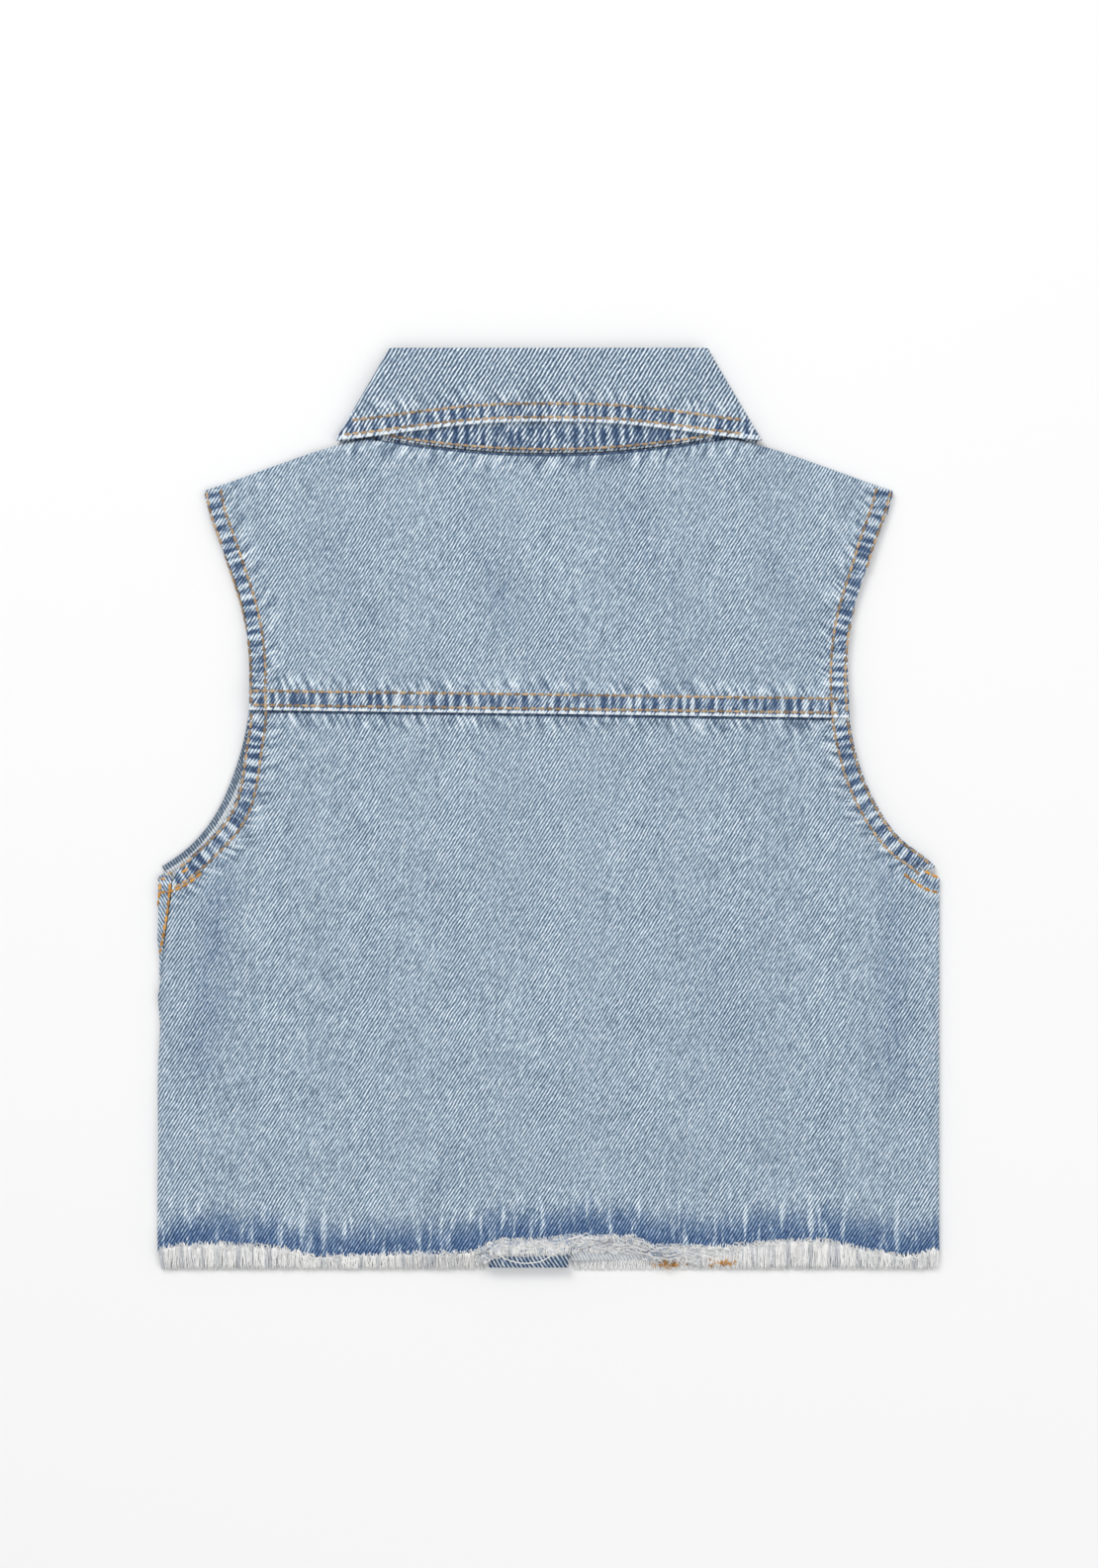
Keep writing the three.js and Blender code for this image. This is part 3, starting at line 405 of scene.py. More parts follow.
def edge_wear_and_painted_shadow(material, tone, width):
    """A worn white line on a folded edge, or a painted dark shadow line on the cloth just under an edge."""
    seam = add_node(material, "ShaderNodeAttribute", attribute_name="seam")
    away = add_node(material, "ShaderNodeSeparateXYZ", {0: seam.outputs["Vector"]}).outputs["X"]
    edge = add_node(material, "ShaderNodeAttribute", attribute_name="edge").outputs["Fac"]
    line = add_node(material, "ShaderNodeMapRange",
                    {0: away, 1: width - EDGE_BLUR, 2: width + EDGE_BLUR, 3: EDGE_TONE, 4: 0.0})
    return add_node(material, "ShaderNodeMath", {0: line, 1: edge, 2: tone}, operation="MULTIPLY_ADD")


# %% [markdown]
# The hem was cut after the wash, where an old fold had kept its dye. A slow noise makes the height of
# the dark band wander, and a noise stretched upright gives the pale flecks that cross it.

# %% Wear above the frayed hem
def hem_wear(material, in_mm, tone):
    """Cloth that stayed dark blue above the raw edge, crossed by pale upright flecks."""
    above = add_node(material, "ShaderNodeAttribute", attribute_name="hem").outputs["Fac"]
    column = add_node(material, "ShaderNodeSeparateXYZ", {0: in_mm}).outputs["X"]
    drift_at = add_node(material, "ShaderNodeCombineXYZ", {
        0: add_node(material, "ShaderNodeMath", {0: column, 1: 0.09}, operation="MULTIPLY")})
    drift = add_node(material, "ShaderNodeTexNoise", {"Vector": drift_at, "Scale": 1.0, "Detail": 4.0})
    height = add_node(material, "ShaderNodeMath", {0: drift, 1: -18.0, 2: above}, operation="MULTIPLY_ADD")
    dyed = add_node(material, "ShaderNodeMapRange", {0: height, 1: -6.0, 2: 13.0, 3: 1.0, 4: 0.0},
                    interpolation_type="SMOOTHSTEP")
    tone = add_node(material, "ShaderNodeMath", {0: dyed, 1: -0.21, 2: tone}, operation="MULTIPLY_ADD")
    fleck_at = add_node(material, "ShaderNodeCombineXYZ", {
        0: add_node(material, "ShaderNodeMath", {0: column, 1: 0.30}, operation="MULTIPLY"),
        1: add_node(material, "ShaderNodeMath", {0: above, 1: 0.045}, operation="MULTIPLY")})
    fleck = add_node(material, "ShaderNodeTexNoise", {"Vector": fleck_at, "Scale": 1.0, "Detail": 2.0,
                                                      "Roughness": 0.6})
    fleck = add_node(material, "ShaderNodeMapRange", {0: fleck, 1: 0.53, 2: 0.67, 3: 0.0, 4: 1.0})
    reach = add_node(material, "ShaderNodeMapRange", {0: above, 1: 14.0, 2: 32.0, 3: 1.0, 4: 0.0},
                     interpolation_type="SMOOTHSTEP")
    fleck = add_node(material, "ShaderNodeMath", {0: fleck, 1: reach}, operation="MULTIPLY")
    tone = add_node(material, "ShaderNodeMath", {0: fleck, 1: 0.34, 2: tone}, operation="MULTIPLY_ADD")
    keep = add_node(material, "ShaderNodeMath", {0: fleck, 1: -0.8, 2: 1.0}, operation="MULTIPLY_ADD")
    return tone, add_node(material, "ShaderNodeMath", {0: dyed, 1: keep}, operation="MULTIPLY")


# %% [markdown]
# Indigo cotton is matt and a little fuzzy: high roughness, a low specular level and some sheen. Its
# tone goes through one ramp where it is worn and another where it kept its dye. The same weave lifts a
# fine bump. The wrong side of the cloth shows the white weft and gets a paler ramp.

# %% The denim material
WORN = ((0.0, "#3f5069"), (0.25, "#6b7f94"), (0.5, "#8fa3b5"), (0.75, "#bccddc"), (1.0, "#eef5fa"))
DYED = ((0.0, "#253b5e"), (0.37, "#4c6a94"), (0.62, "#7490b5"), (0.86, "#b4c8df"), (1.0, "#eaf1f8"))
WRONG_SIDE = ((0.0, "#4d5d70"), (0.25, "#94a3b3"), (0.5, "#ccd3d9"), (0.75, "#e4e7e9"), (1.0, "#f8f9f9"))


def denim(name, worn, angle=WALE_ANGLE, seams=True, hem=False, contrast=1.0, spacing=WALE_SPACING,
          middle=0.48, edge_width=1.2):
    """Twill cloth: its weave, its wear along seams with painted shade on creases and under edges, and on the
    back its wear above the hem.
    """
    material, shader = new_material(name)
    place = add_node(material, "ShaderNodeTexCoord").outputs["Object"]
    in_mm = add_node(material, "ShaderNodeVectorMath", {0: place, "Scale": 1 / MM}, operation="SCALE")
    weave = twill(material, in_mm, angle, contrast, spacing, middle)
    tone, dye, height = weave, 0.0, weave
    if seams:
        tone, dye = seam_wear(material, tone)
        tone, dye = crease_painted_shading(material, tone, dye)
    if hem:
        tone, hem_dye = hem_wear(material, in_mm, tone)
        dye = add_node(material, "ShaderNodeMath", {0: dye, 1: hem_dye}, operation="MAXIMUM")
    tone = edge_wear_and_painted_shadow(material, tone, edge_width)
    worn_colour = add_node(material, "ShaderNodeValToRGB", {"Fac": tone}, stops=worn)
    colour = worn_colour.outputs["Color"]
    if seams or hem:
        dyed_colour = add_node(material, "ShaderNodeValToRGB", {"Fac": tone}, stops=DYED)
        mix = add_node(material, "ShaderNodeMix", {0: dye, 6: worn_colour, 7: dyed_colour}, data_type="RGBA")
        colour = mix.outputs[2]
    material.node_tree.links.new(colour, shader.inputs["Base Color"])
    shader.inputs["Roughness"].default_value = 0.92
    shader.inputs["Specular IOR Level"].default_value = 0.25
    shader.inputs["Sheen Weight"].default_value = 0.08
    bump = add_node(material, "ShaderNodeBump", {"Height": height, "Strength": 0.5, "Distance": 0.3 * MM})
    material.node_tree.links.new(bump.outputs["Normal"], shader.inputs["Normal"])
    return material


washed = denim("light_wash_denim", WORN, hem=True)
washed_collar = denim("light_wash_collar_denim", WORN, contrast=1.3, spacing=COLLAR_WALE_SPACING,
                      middle=0.43, edge_width=1.9)
washed_front = denim("light_wash_front_denim", WORN, angle=-WALE_ANGLE, hem=True)
washed_band = denim("light_wash_band_denim", WORN, angle=-WALE_ANGLE, hem=True, contrast=1.7,
                    spacing=COLLAR_WALE_SPACING)
# The stand is drawn darker, a painted shade for the shadow that the collar leaf casts on it.
stand_denim_painted_shade = denim("light_wash_stand_denim_painted_shade", WORN, contrast=1.3, spacing=COLLAR_WALE_SPACING, middle=0.33)
inside = denim("wrong_side_of_denim", WRONG_SIDE, angle=-WALE_ANGLE, seams=False, contrast=0.8, middle=0.66,
               edge_width=2.7)
print("denim finishes", 6)

# %% [markdown]
# ## Cloth from the frame's solids
# The frame already holds each cut piece at its true shape, but as coarse flat faces. Each is copied,
# its loose triangles are merged and turned back into quads, and subdivision rounds it, with creased
# borders so that the cut edge keeps its place. Near the stitching the faces are split again, so that
# puckers there can be real bumps in the cloth and not only painted ones.

# %% Creased borders
def select_only(piece):
    deselect()
    piece.select_set(True)
    bpy.context.view_layer.objects.active = piece


def crease_borders(mesh, sharp=math.radians(50), corner=math.radians(38)):
    """Creases the edges where a face meets the cloth's thickness, and the corners of its outline."""
    sharp_at = {}
    normals = [face.normal.copy() for face in mesh.polygons]
    faces_of = {}
    for face in mesh.polygons:
        for key in face.edge_keys:
            faces_of.setdefault(key, []).append(face.index)
    edge_crease = mesh.attributes.new("crease_edge", "FLOAT", "EDGE")
    for edge in mesh.edges:
        pair = faces_of.get(edge.key, [])
        if len(pair) == 2 and normals[pair[0]].angle(normals[pair[1]], 0) > sharp:
            edge_crease.data[edge.index].value = 1
            for end, other in (edge.vertices, reversed(edge.vertices)):
                way = (mesh.vertices[other].co - mesh.vertices[end].co).normalized()
                sharp_at.setdefault(end, []).append(way)
    point_crease = mesh.attributes.new("crease_vert", "FLOAT", "POINT")
    for point, ways in sharp_at.items():
        if len(ways) >= 2 and math.pi - ways[0].angle(ways[1]) > corner:
            point_crease.data[point].value = 1


# %% [markdown]
# Subdivision Surface rounds the coarse faces, and the creased edges and corners hold the outline. The
# copy replaces its solid in every picture, and rides on the same body.

# %% Copy a solid as cloth
def cloth_from(node, name, levels):
    """A smooth copy of a CAD node, as a new piece."""
    piece = bpy.data.objects.new(name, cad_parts[node].data.copy())
    bpy.context.scene.collection.objects.link(piece)
    piece.data.materials.clear()
    select_only(piece)
    bpy.ops.object.mode_set(mode="EDIT")
    bpy.ops.mesh.select_all(action="SELECT")
    bpy.ops.mesh.remove_doubles(threshold=0.02 * MM)
    bpy.ops.mesh.tris_convert_to_quads(face_threshold=math.radians(60), shape_threshold=math.radians(75))
    bpy.ops.object.mode_set(mode="OBJECT")
    crease_borders(piece.data)
    smoothing = piece.modifiers.new("smoothing", "SUBSURF")
    smoothing.levels = smoothing.render_levels = levels
    bpy.ops.object.modifier_apply(modifier="smoothing")
    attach(piece, "root")
    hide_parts(node)
    return piece


# %% [markdown]
# Shapes are changed as arrays of points in millimetres and written back at once. Where the stitching
# will pucker the cloth, the faces are split in edit mode first, so that there are points to move.

# %% Points in millimetres and finer faces
def points_of(piece):
    """The piece's points, in millimetres."""
    flat = np.empty(len(piece.data.vertices) * 3)
    piece.data.vertices.foreach_get("co", flat)
    return flat.reshape(-1, 3) / MM


def move_points(piece, points):
    """Writes points in millimetres back to the piece."""
    piece.data.vertices.foreach_set("co", (points * MM).ravel())
    piece.data.update()


def refine(piece, chosen, cuts=1):
    """Splits the faces whose middles are chosen, by a test on an array of middles in mm."""
    middles = np.array([face.center for face in piece.data.polygons]) / MM
    select_only(piece)
    bpy.ops.object.mode_set(mode="EDIT")
    bpy.ops.mesh.select_mode(type="FACE")
    bpy.ops.mesh.select_all(action="DESELECT")
    bpy.ops.object.mode_set(mode="OBJECT")
    piece.data.polygons.foreach_set("select", chosen(middles))
    bpy.ops.object.mode_set(mode="EDIT")
    bpy.ops.mesh.subdivide(number_cuts=cuts)
    bpy.ops.object.mode_set(mode="OBJECT")


# %% [markdown]
# ## Seam lengths and puckers
# A felled seam shrinks more than the cloth beside it, so the cloth ropes: short slanting ridges stand
# between the rows of stitches and die out a centimetre beyond them. Each point gets its distance to
# the nearest stitched edge and its place along it. The same two lengths lift the ridges here and
# colour them in the denim, so paint and form agree.

# %% Seam lengths on the points, and the puckers
# The narrow under_yoke and neck bands give a strip of painted shadow just beside those edges.
BAND = {"armhole": 7.8, "yoke": 8.9, "leaf": 8.6, "stand": 12.0, "neck": 1.2, "under_yoke": 1.0,
        "band": 7.0, "side": 7.5}
# The first edge value gives a worn white line on a folded edge; the second paints a dark shadow line on the
# cloth just under an edge.
PALE_EDGE, PAINTED_SHADOW_EDGE = 1.0, -0.88


def seam_lengths(points, lines):
    """For each point the distance to the nearest of several edges, the place along it and its band."""
    away = np.full(len(points), 60.0)
    along = np.zeros(len(points))
    band = np.full(len(points), 7.0)
    edge = np.zeros(len(points))
    # Each edge carries its own value, the pale one a worn white line and the dark one a painted shadow line.
    for shift, (line, kind, wear) in enumerate(lines):
        d, s = nearest_on(line, points[:, :2])
        closer = d - BAND[kind] < away - band
        away[closer], along[closer], band[closer] = d[closer], s[closer] + 900 * shift, BAND[kind]
        edge[closer] = wear
    return away, along, band, edge


def puckers(away, along, band):
    """The wave of the puckers, the same sum as in the cloth's material."""
    slant = along + PUCKER_LEAN * np.maximum(away - band, 0)
    phase = slant * 2 * math.pi / PUCKER_PITCH
    for reach, rate, start in WANDERS:
        phase = phase + reach * np.sin(along * rate + start)
    return np.sin(phase)


def pucker_lift(away, along, band, height):
    """Lift of the puckers: full between the rows of stitches, and dying out beyond them."""
    between = smooth_step(away, 0.6, 2.2) * (1 - smooth_step(away, band - 1.2, band))
    beyond = smooth_step(away, band, band + 1.5) * (1 - smooth_step(away, band + 1.5, band + 12))
    return height * puckers(away, along, band) * (between + 0.55 * beyond)


# %% [markdown]
# The lengths are kept as attributes on the points, which the shader reads. A lift
# moves each point along its own normal, so a fold that turns over keeps its thickness.

# %% Keep the lengths and lift the cloth
FAR_FROM_HEM = 200.0


def keep_lengths(piece, away, along, band, edge, hem=None, crease=None):
    """Keeps the lengths on the piece's points, where its material reads them."""
    values = np.stack([away, along, band], 1).astype(np.float32)
    piece.data.attributes.new("seam", "FLOAT_VECTOR", "POINT").data.foreach_set("vector", values.ravel())
    hem = np.full(len(away), FAR_FROM_HEM) if hem is None else hem
    crease = np.zeros(len(away)) if crease is None else crease
    for name, numbers in (("edge", edge), ("hem", hem), ("crease", crease)):
        kept = piece.data.attributes.new(name, "FLOAT", "POINT")
        kept.data.foreach_set("value", numbers.astype(np.float32))


def lift_points(piece, points, lift):
    """Moves each point along its own normal by a lift in mm."""
    normals = np.empty(len(points) * 3)
    piece.data.vertices.foreach_get("normal", normals)
    move_points(piece, points + normals.reshape(-1, 3) * lift[:, None])


# %% [markdown]
# Every piece has a blue right side and a pale wrong side. The vest is folded at its sides, so the test
# for the right side is made round the middle of the fold, and not by whether a face looks up.

# %% Which side of the cloth shows
def dress(piece, outer, outer_material, inner_material=None):
    """Gives the faces of the right side one material and those of the wrong side the other."""
    piece.data.materials.append(outer_material)
    piece.data.materials.append(inner_material or inside)
    middles = np.array([face.center for face in piece.data.polygons]) / MM
    normals = np.array([face.normal for face in piece.data.polygons])
    wrong = ~outer(middles, normals)
    piece.data.polygons.foreach_set("material_index", wrong.astype(np.int32))
    select_only(piece)
    bpy.ops.object.shade_smooth_by_angle(angle=math.radians(50))
    print(piece.name, "faces", len(piece.data.polygons))


def fold_outward(middles, normals):
    """Above zero where a face looks away from the middle of its side fold."""
    out = np.maximum(np.abs(middles[:, 0]) - FOLD_X, 0) * np.sign(middles[:, 0])
    return out * normals[:, 0] + (middles[:, 2] - FOLD_MIDDLE_Z) * normals[:, 2]


def faces_up(middles, normals):
    """The right side of the back: upwards, and outwards round the side folds."""
    near_fold = np.abs(middles[:, 0]) > FOLD_X - 12
    return np.where(near_fold, fold_outward(middles, normals) > -0.02, normals[:, 2] > -0.3)


def faces_down(middles, normals):
    """The right side of the fronts: downwards, and outwards where the left one turns up."""
    near_fold = np.abs(middles[:, 0]) > FOLD_X - 12
    return np.where(near_fold, fold_outward(middles, normals) > -0.02, normals[:, 2] < 0.3)


def yoke_right_side(middles, normals):
    """The right side of the yoke: upwards, and outwards and down where it wraps over the shoulders."""
    turned = (middles[:, 1] > 120) & (middles[:, 2] < 3.2)
    low = turned & (middles[:, 2] < 1.0)
    return np.where(low, normals[:, 2] < 0, np.where(turned, normals[:, 1] > -0.2, normals[:, 2] > -0.3))


def every_face(middles, normals):
    return np.full(len(middles), True)


# %% [markdown]
# ## Creases
# A folded vest keeps a few soft creases from its last wearing. They are listed one by one: each is a line
# with its own width and depth, negative for a trough, and a smooth curve across. They are shallow,
# because this cloth was steamed flat before it was laid out.

# %% Soft creases, listed one by one
BACK_CREASES = (
    (-148, -18, -160, -126, 9, -0.7), (-126, 8, -134, -60, 7, 0.35), (155, -22, 158, -126, 8, -0.6),
    (139, 5, 146, -58, 6, 0.3), (-70, -90, 30, -112, 12, 0.25), (60, -40, 96, -120, 11, -0.3),
    (-40, -150, -60, -190, 8, -0.25), (110, -140, 120, -188, 8, 0.25),
)
YOKE_CREASES = (
    (-104, 128, -78, 70, 8, -0.3), (-40, 140, -12, 78, 9, -0.3), (34, 146, 58, 90, 8, -0.3),
    (96, 132, 112, 84, 8, -0.25), (-124, 118, -122, 62, 6, 0.25), (4, 120, 22, 66, 10, 0.2),
)
FRONT_CREASES = (
    (-140, 10, -150, -120, 9, 0.25), (-96, 90, -70, 20, 9, 0.25), (84, 100, 66, 10, 8, 0.25),
    (136, -10, 148, -110, 9, 0.25), (-90, -60, -60, -160, 10, 0.2), (70, -70, 92, -170, 10, 0.2),
)
print("creases", len(BACK_CREASES), len(YOKE_CREASES), len(FRONT_CREASES))


def crease_lift(points, creases):
    """Height of the creases at each point, in mm."""
    lift = np.zeros(len(points))
    for x0, y0, x1, y1, width, depth in creases:
        start, span = np.array([x0, y0]), np.array([x1 - x0, y1 - y0])
        t = (points[:, :2] - start) @ span / (span @ span)
        d = np.linalg.norm(points[:, :2] - start - t[:, None] * span, axis=1)
        ends = smooth_step(t, -0.15, 0.2) * (1 - smooth_step(t, 0.8, 1.15))
        lift += depth * np.exp(-(d / width) ** 2) * ends
    return lift


# %% [markdown]
# The lower back is one cut piece from armhole to hem, and it turns round both side folds. It gets the
# lengths to both armholes, to the yoke that laps over it, and to its raw edge.

# %% Lower back
x_line = np.arange(-140, 141, 3.0)
yoke_edge = np.stack([x_line, seam_y(x_line)], 1)
back = cloth_from("back_panel", "lower_back", 2)


def near_back_seams(m):
    armhole = np.minimum(nearest_on(left_armhole, m[:, :2])[0], nearest_on(right_armhole, m[:, :2])[0])
    seams = (armhole < 20) | (m[:, 1] > seam_y(m[:, 0]) - 16) | (m[:, 1] < hem_y(m[:, 0]) + 8)
    return seams & (m[:, 2] > 1.8)


def cloth_lift(points, lengths, creases, height, above):
    """Creases and puckers on the side of the cloth that lies above a height."""
    lift = crease_lift(points, creases) + pucker_lift(*lengths[:3], height)
    return lift * smooth_step(points[:, 2], above - 0.3, above + 0.3)


refine(back, near_back_seams, 2)
p = points_of(back)
# Under the yoke's lapped edge the cloth gets a painted dark shadow line.
lengths = seam_lengths(p, [(left_armhole, "armhole", 0), (right_armhole, "armhole", 0),
                           (yoke_edge[::-1], "under_yoke", PAINTED_SHADOW_EDGE)])
keep_lengths(back, *lengths, p[:, 1] - hem_y(p[:, 0]), crease_lift(p, BACK_CREASES))
PUCKER_HEIGHT = 0.26
lift_points(back, p, cloth_lift(p, lengths, BACK_CREASES, PUCKER_HEIGHT, FOLD_MIDDLE_Z + 0.4))
dress(back, faces_up, washed)

# %% [markdown]
# The yoke is the short piece over the shoulder blades. Its lower edge is turned in and sewn down with
# two rows, so it has a thick pale edge, and it wraps over both shoulders to meet the fronts.

# %% Yoke
neck_x = np.arange(-97, 98, 3.0)
neck_line = np.stack([neck_x, neck_y(neck_x)], 1)
yoke = cloth_from("back_yoke", "yoke", 2)


def near_yoke_seams(m):
    armhole = np.minimum(nearest_on(left_armhole, m[:, :2])[0], nearest_on(right_armhole, m[:, :2])[0])
    seams = (armhole < 20) | (m[:, 1] < seam_y(m[:, 0]) + 24) | (m[:, 1] > neck_y(m[:, 0]) - 16)
    return seams & (m[:, 2] > 3)


refine(yoke, near_yoke_seams, 2)
p = points_of(yoke)
# Along the neck seam the yoke gets a painted dark shadow line, where the collar shades it.
lengths = seam_lengths(p, [(left_armhole, "armhole", 0), (right_armhole, "armhole", 0),
                           (yoke_edge, "yoke", PALE_EDGE), (neck_line, "neck", PAINTED_SHADOW_EDGE)])
keep_lengths(yoke, *lengths, crease=crease_lift(p, YOKE_CREASES))
lift_points(yoke, p, cloth_lift(p, lengths, YOKE_CREASES, 0.28, 3.0))
dress(yoke, yoke_right_side, washed)

# %% [markdown]
# The fronts lie on the table with their right side down. Only the rims of the armholes and the left
# side seam show from above, but they are finished like the back, since the part is seen from below.

# %% Fronts
FRONT_HEM_Y, THREAD_ROOM = -204.6, 0.42
fronts = {}
for node, armhole in (("front_left", left_front_armhole), ("front_right", right_front_armhole)):
    front = cloth_from(node, node.replace("front", "front_panel"), 2)
    p = points_of(front)
    # The armhole edge of each front gets a painted dark shadow line, on both faces of the cloth.
    lengths = seam_lengths(p, [(armhole, "armhole", PAINTED_SHADOW_EDGE)])
    keep_lengths(front, *lengths, p[:, 1] - FRONT_HEM_Y)
    # The thread under a front stands proud, so the cloth there is a little thinner than its solid.
    lift = THREAD_ROOM + np.abs(crease_lift(p, FRONT_CREASES))
    lift_points(front, p, -lift * smooth_step(-np.abs(p[:, 0]), -175, -170) * (p[:, 2] < 0.5))
    dress(front, faces_down, washed_front)
    fronts[node] = front

# %% [markdown]
# Each front ends in a straight band, folded double and sewn along both sides. The end of one shows
# under the frayed hem, so its twill is drawn strongly.

# %% Button bands
BAND_DRIFT, BAND_TOP_Y, BAND_HALF = 9, 112, 18


def band_x(y):
    """Middle of the bands, which drift to the left from the neck down to the hem."""
    return -BAND_DRIFT * (BAND_TOP_Y - y) / (BAND_TOP_Y - FRONT_HEM_Y)


bands = {}
for node in ("placket_left", "placket_right"):
    strip = cloth_from(node, node.replace("placket", "button_band"), 1)
    p = points_of(strip)
    middle = band_x(p[:, 1])
    to_side = BAND_HALF - np.abs(p[:, 0] - middle)
    to_side = np.where(p[:, 1] < -190, 60, np.maximum(to_side, 0))
    keep_lengths(strip, to_side, p[:, 1], np.full(len(p), BAND["band"]), np.zeros(len(p)), p[:, 1] + 217)
    dress(strip, every_face, washed_band)
    bands[node] = strip

# %% [markdown]
# The collar is a stand, which rises from the neck seam, and a leaf, which falls over it. The leaf is
# heavier cloth with a coarser twill. Its lower edge gets the same two rows as the yoke, and the front
# half of the leaf, below, takes its wear from its own two edges.

# %% Collar
leaf_line = np.stack([neck_x, leaf_y(neck_x)], 1)
stand = cloth_from("collar_stand", "collar_stand_cloth", 2)
p = points_of(stand)
keep_lengths(stand, *seam_lengths(p, [(neck_line, "stand", PALE_EDGE)]))
dress(stand, every_face, stand_denim_painted_shade)

LEAF_FRONT = np.array([(11.4, 134), (20.3, 122), (29.2, 110), (38.1, 98), (47, 84), (53, 92), (59, 104),
                       (65, 110), (71, 122), (77, 134), (83, 146), (89, 158), (95.4, 170)])
leaf_front = even_points(LEAF_FRONT, 2.0)
leaf = cloth_from("collar_leaf", "collar_leaf_cloth", 2)
refine(leaf, lambda m: (m[:, 2] > 6) & (m[:, 1] < leaf_y(m[:, 0]) + 20), 1)
p = points_of(leaf)
over = seam_lengths(p, [(leaf_line, "leaf", PALE_EDGE)])
under = seam_lengths(p, [(leaf_front * (side, 1), "leaf", 0) for side in (1, -1)])
lengths = [np.where(p[:, 2] > 3.6, upper, lower) for upper, lower in zip(over, under)]
keep_lengths(leaf, *lengths)
lift_points(leaf, p, pucker_lift(*lengths[:3], 0.22) * np.where(p[:, 2] > 6.5, 1.0, 0.0))
dress(leaf, every_face, washed_collar)

# %% [markdown]
# ## Thread and yarn
# Both are spun cotton. Topstitching thread is thick, tan and tightly twisted, so it keeps a soft
# light along its top. Frayed yarn is bleached nearly white and has no twist left. One shader serves
# all of them: each stitch or yarn carries its own tint, and fine noise breaks its surface.

# %% Thread and yarn materials
def cotton(name, light, dark):
    """Matt cotton, lighter or darker by each stitch's or yarn's own tint."""
    material, shader = new_material(name)
    tint = add_node(material, "ShaderNodeAttribute", attribute_name="tint")
    place = add_node(material, "ShaderNodeTexCoord").outputs["Object"]
    twist = add_node(material, "ShaderNodeTexNoise", {"Vector": place, "Scale": 1600.0, "Detail": 1.0})
    tone = add_node(material, "ShaderNodeMath", {0: tint.outputs["Fac"], 1: 0.55}, operation="MULTIPLY")
    tone = add_node(material, "ShaderNodeMath", {0: twist, 1: 0.6, 2: tone}, operation="MULTIPLY_ADD")
    colour = add_node(material, "ShaderNodeValToRGB", {"Fac": tone}, stops=((0.2, dark), (0.85, light)))
    material.node_tree.links.new(colour.outputs["Color"], shader.inputs["Base Color"])
    shader.inputs["Roughness"].default_value = 0.85
    shader.inputs["Sheen Weight"].default_value = 0.1
    return material


tan_thread = cotton("spun_tan_thread", "#c6a986", "#6c5742")
mustard_thread = cotton("spun_mustard_thread", "#dfa656", "#966426")
bleached_yarn = cotton("bleached_cotton_yarn", "#fffefc", "#bcc2ca")
blue_yarn = cotton("washed_blue_yarn", "#cfdced", "#8ba3c3")

# %% [markdown]
# ## Stitches
# A stitch lies on the cloth for three and a half millimetres and then dips through it. One is
# modelled from a sphere, stretched, with its ends pushed down, and copied along each row. A ray
# straight down finds the cloth below every stitch, so a row rides over the puckers that it caused.
# Rows on the underside are found by rays straight up.

# %% One stitch
STITCH_HALF, STITCH_WIDE, STITCH_HIGH = 1.76, 0.66, 0.40
deselect()
bpy.ops.mesh.primitive_uv_sphere_add(segments=8, ring_count=6, radius=MM, rotation=(0, math.pi / 2, 0))
bpy.ops.object.transform_apply(location=False, rotation=True, scale=False)
bpy.ops.transform.resize(value=(STITCH_HALF, STITCH_WIDE, STITCH_HIGH))
bpy.ops.object.transform_apply(location=False, rotation=False, scale=True)
one_stitch = bpy.context.object
stitch_points = points_of(one_stitch)
stitch_points[:, 2] -= 0.42 * np.abs(stitch_points[:, 0] / STITCH_HALF) ** 3
stitch_faces = [tuple(face.vertices) for face in one_stitch.data.polygons]
bpy.data.objects.remove(one_stitch)
print("one stitch has", len(stitch_faces), "faces")


# %% [markdown]
# All the small shapes need the same two helpers: a search tree over some pieces of cloth, and a way to
# turn arrays of points and faces into one new piece with a tint on every point.

# %% Search trees and new pieces
def surface_tree(*pieces):
    """A search tree over the faces of some pieces, in mm."""
    points, faces = [], []
    for piece in pieces:
        start = len(points)
        points += [tuple(v) for v in points_of(piece)]
        faces += [tuple(start + k for k in face.vertices) for face in piece.data.polygons]
    return BVHTree.FromPolygons(points, faces)


def new_piece(name, points, faces, tints, material):
    """A new piece of many small closed shapes, riding on the vest, with a tint on every point."""
    mesh = bpy.data.meshes.new(name)
    mesh.from_pydata((np.asarray(points) * MM).tolist(), [], faces)
    mesh.attributes.new("tint", "FLOAT", "POINT").data.foreach_set("value", np.asarray(tints, np.float32))
    mesh.materials.append(material)
    mesh.polygons.foreach_set("use_smooth", [True] * len(mesh.polygons))
    piece = bpy.data.objects.new(name, mesh)
    bpy.context.scene.collection.objects.link(piece)
    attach(piece, "root")
    print(name, len(faces), "faces")
    return piece


# %% [markdown]
# Each row is one mesh of many copies, because thousands of objects would be slow. Every stitch gets its
# own three axes: along the row, across it, and up from the cloth.
# A row is walked one stitch length at a time. A ray finds the cloth below both ends of each stitch, so
# the stitch lies along the slope there, and one that would bridge a step between two layers is left out.

# %% Lay stitches along a row
RAY_START = 40
HIGHEST_STEP = 2.2
STITCH_RAISE = 0.28


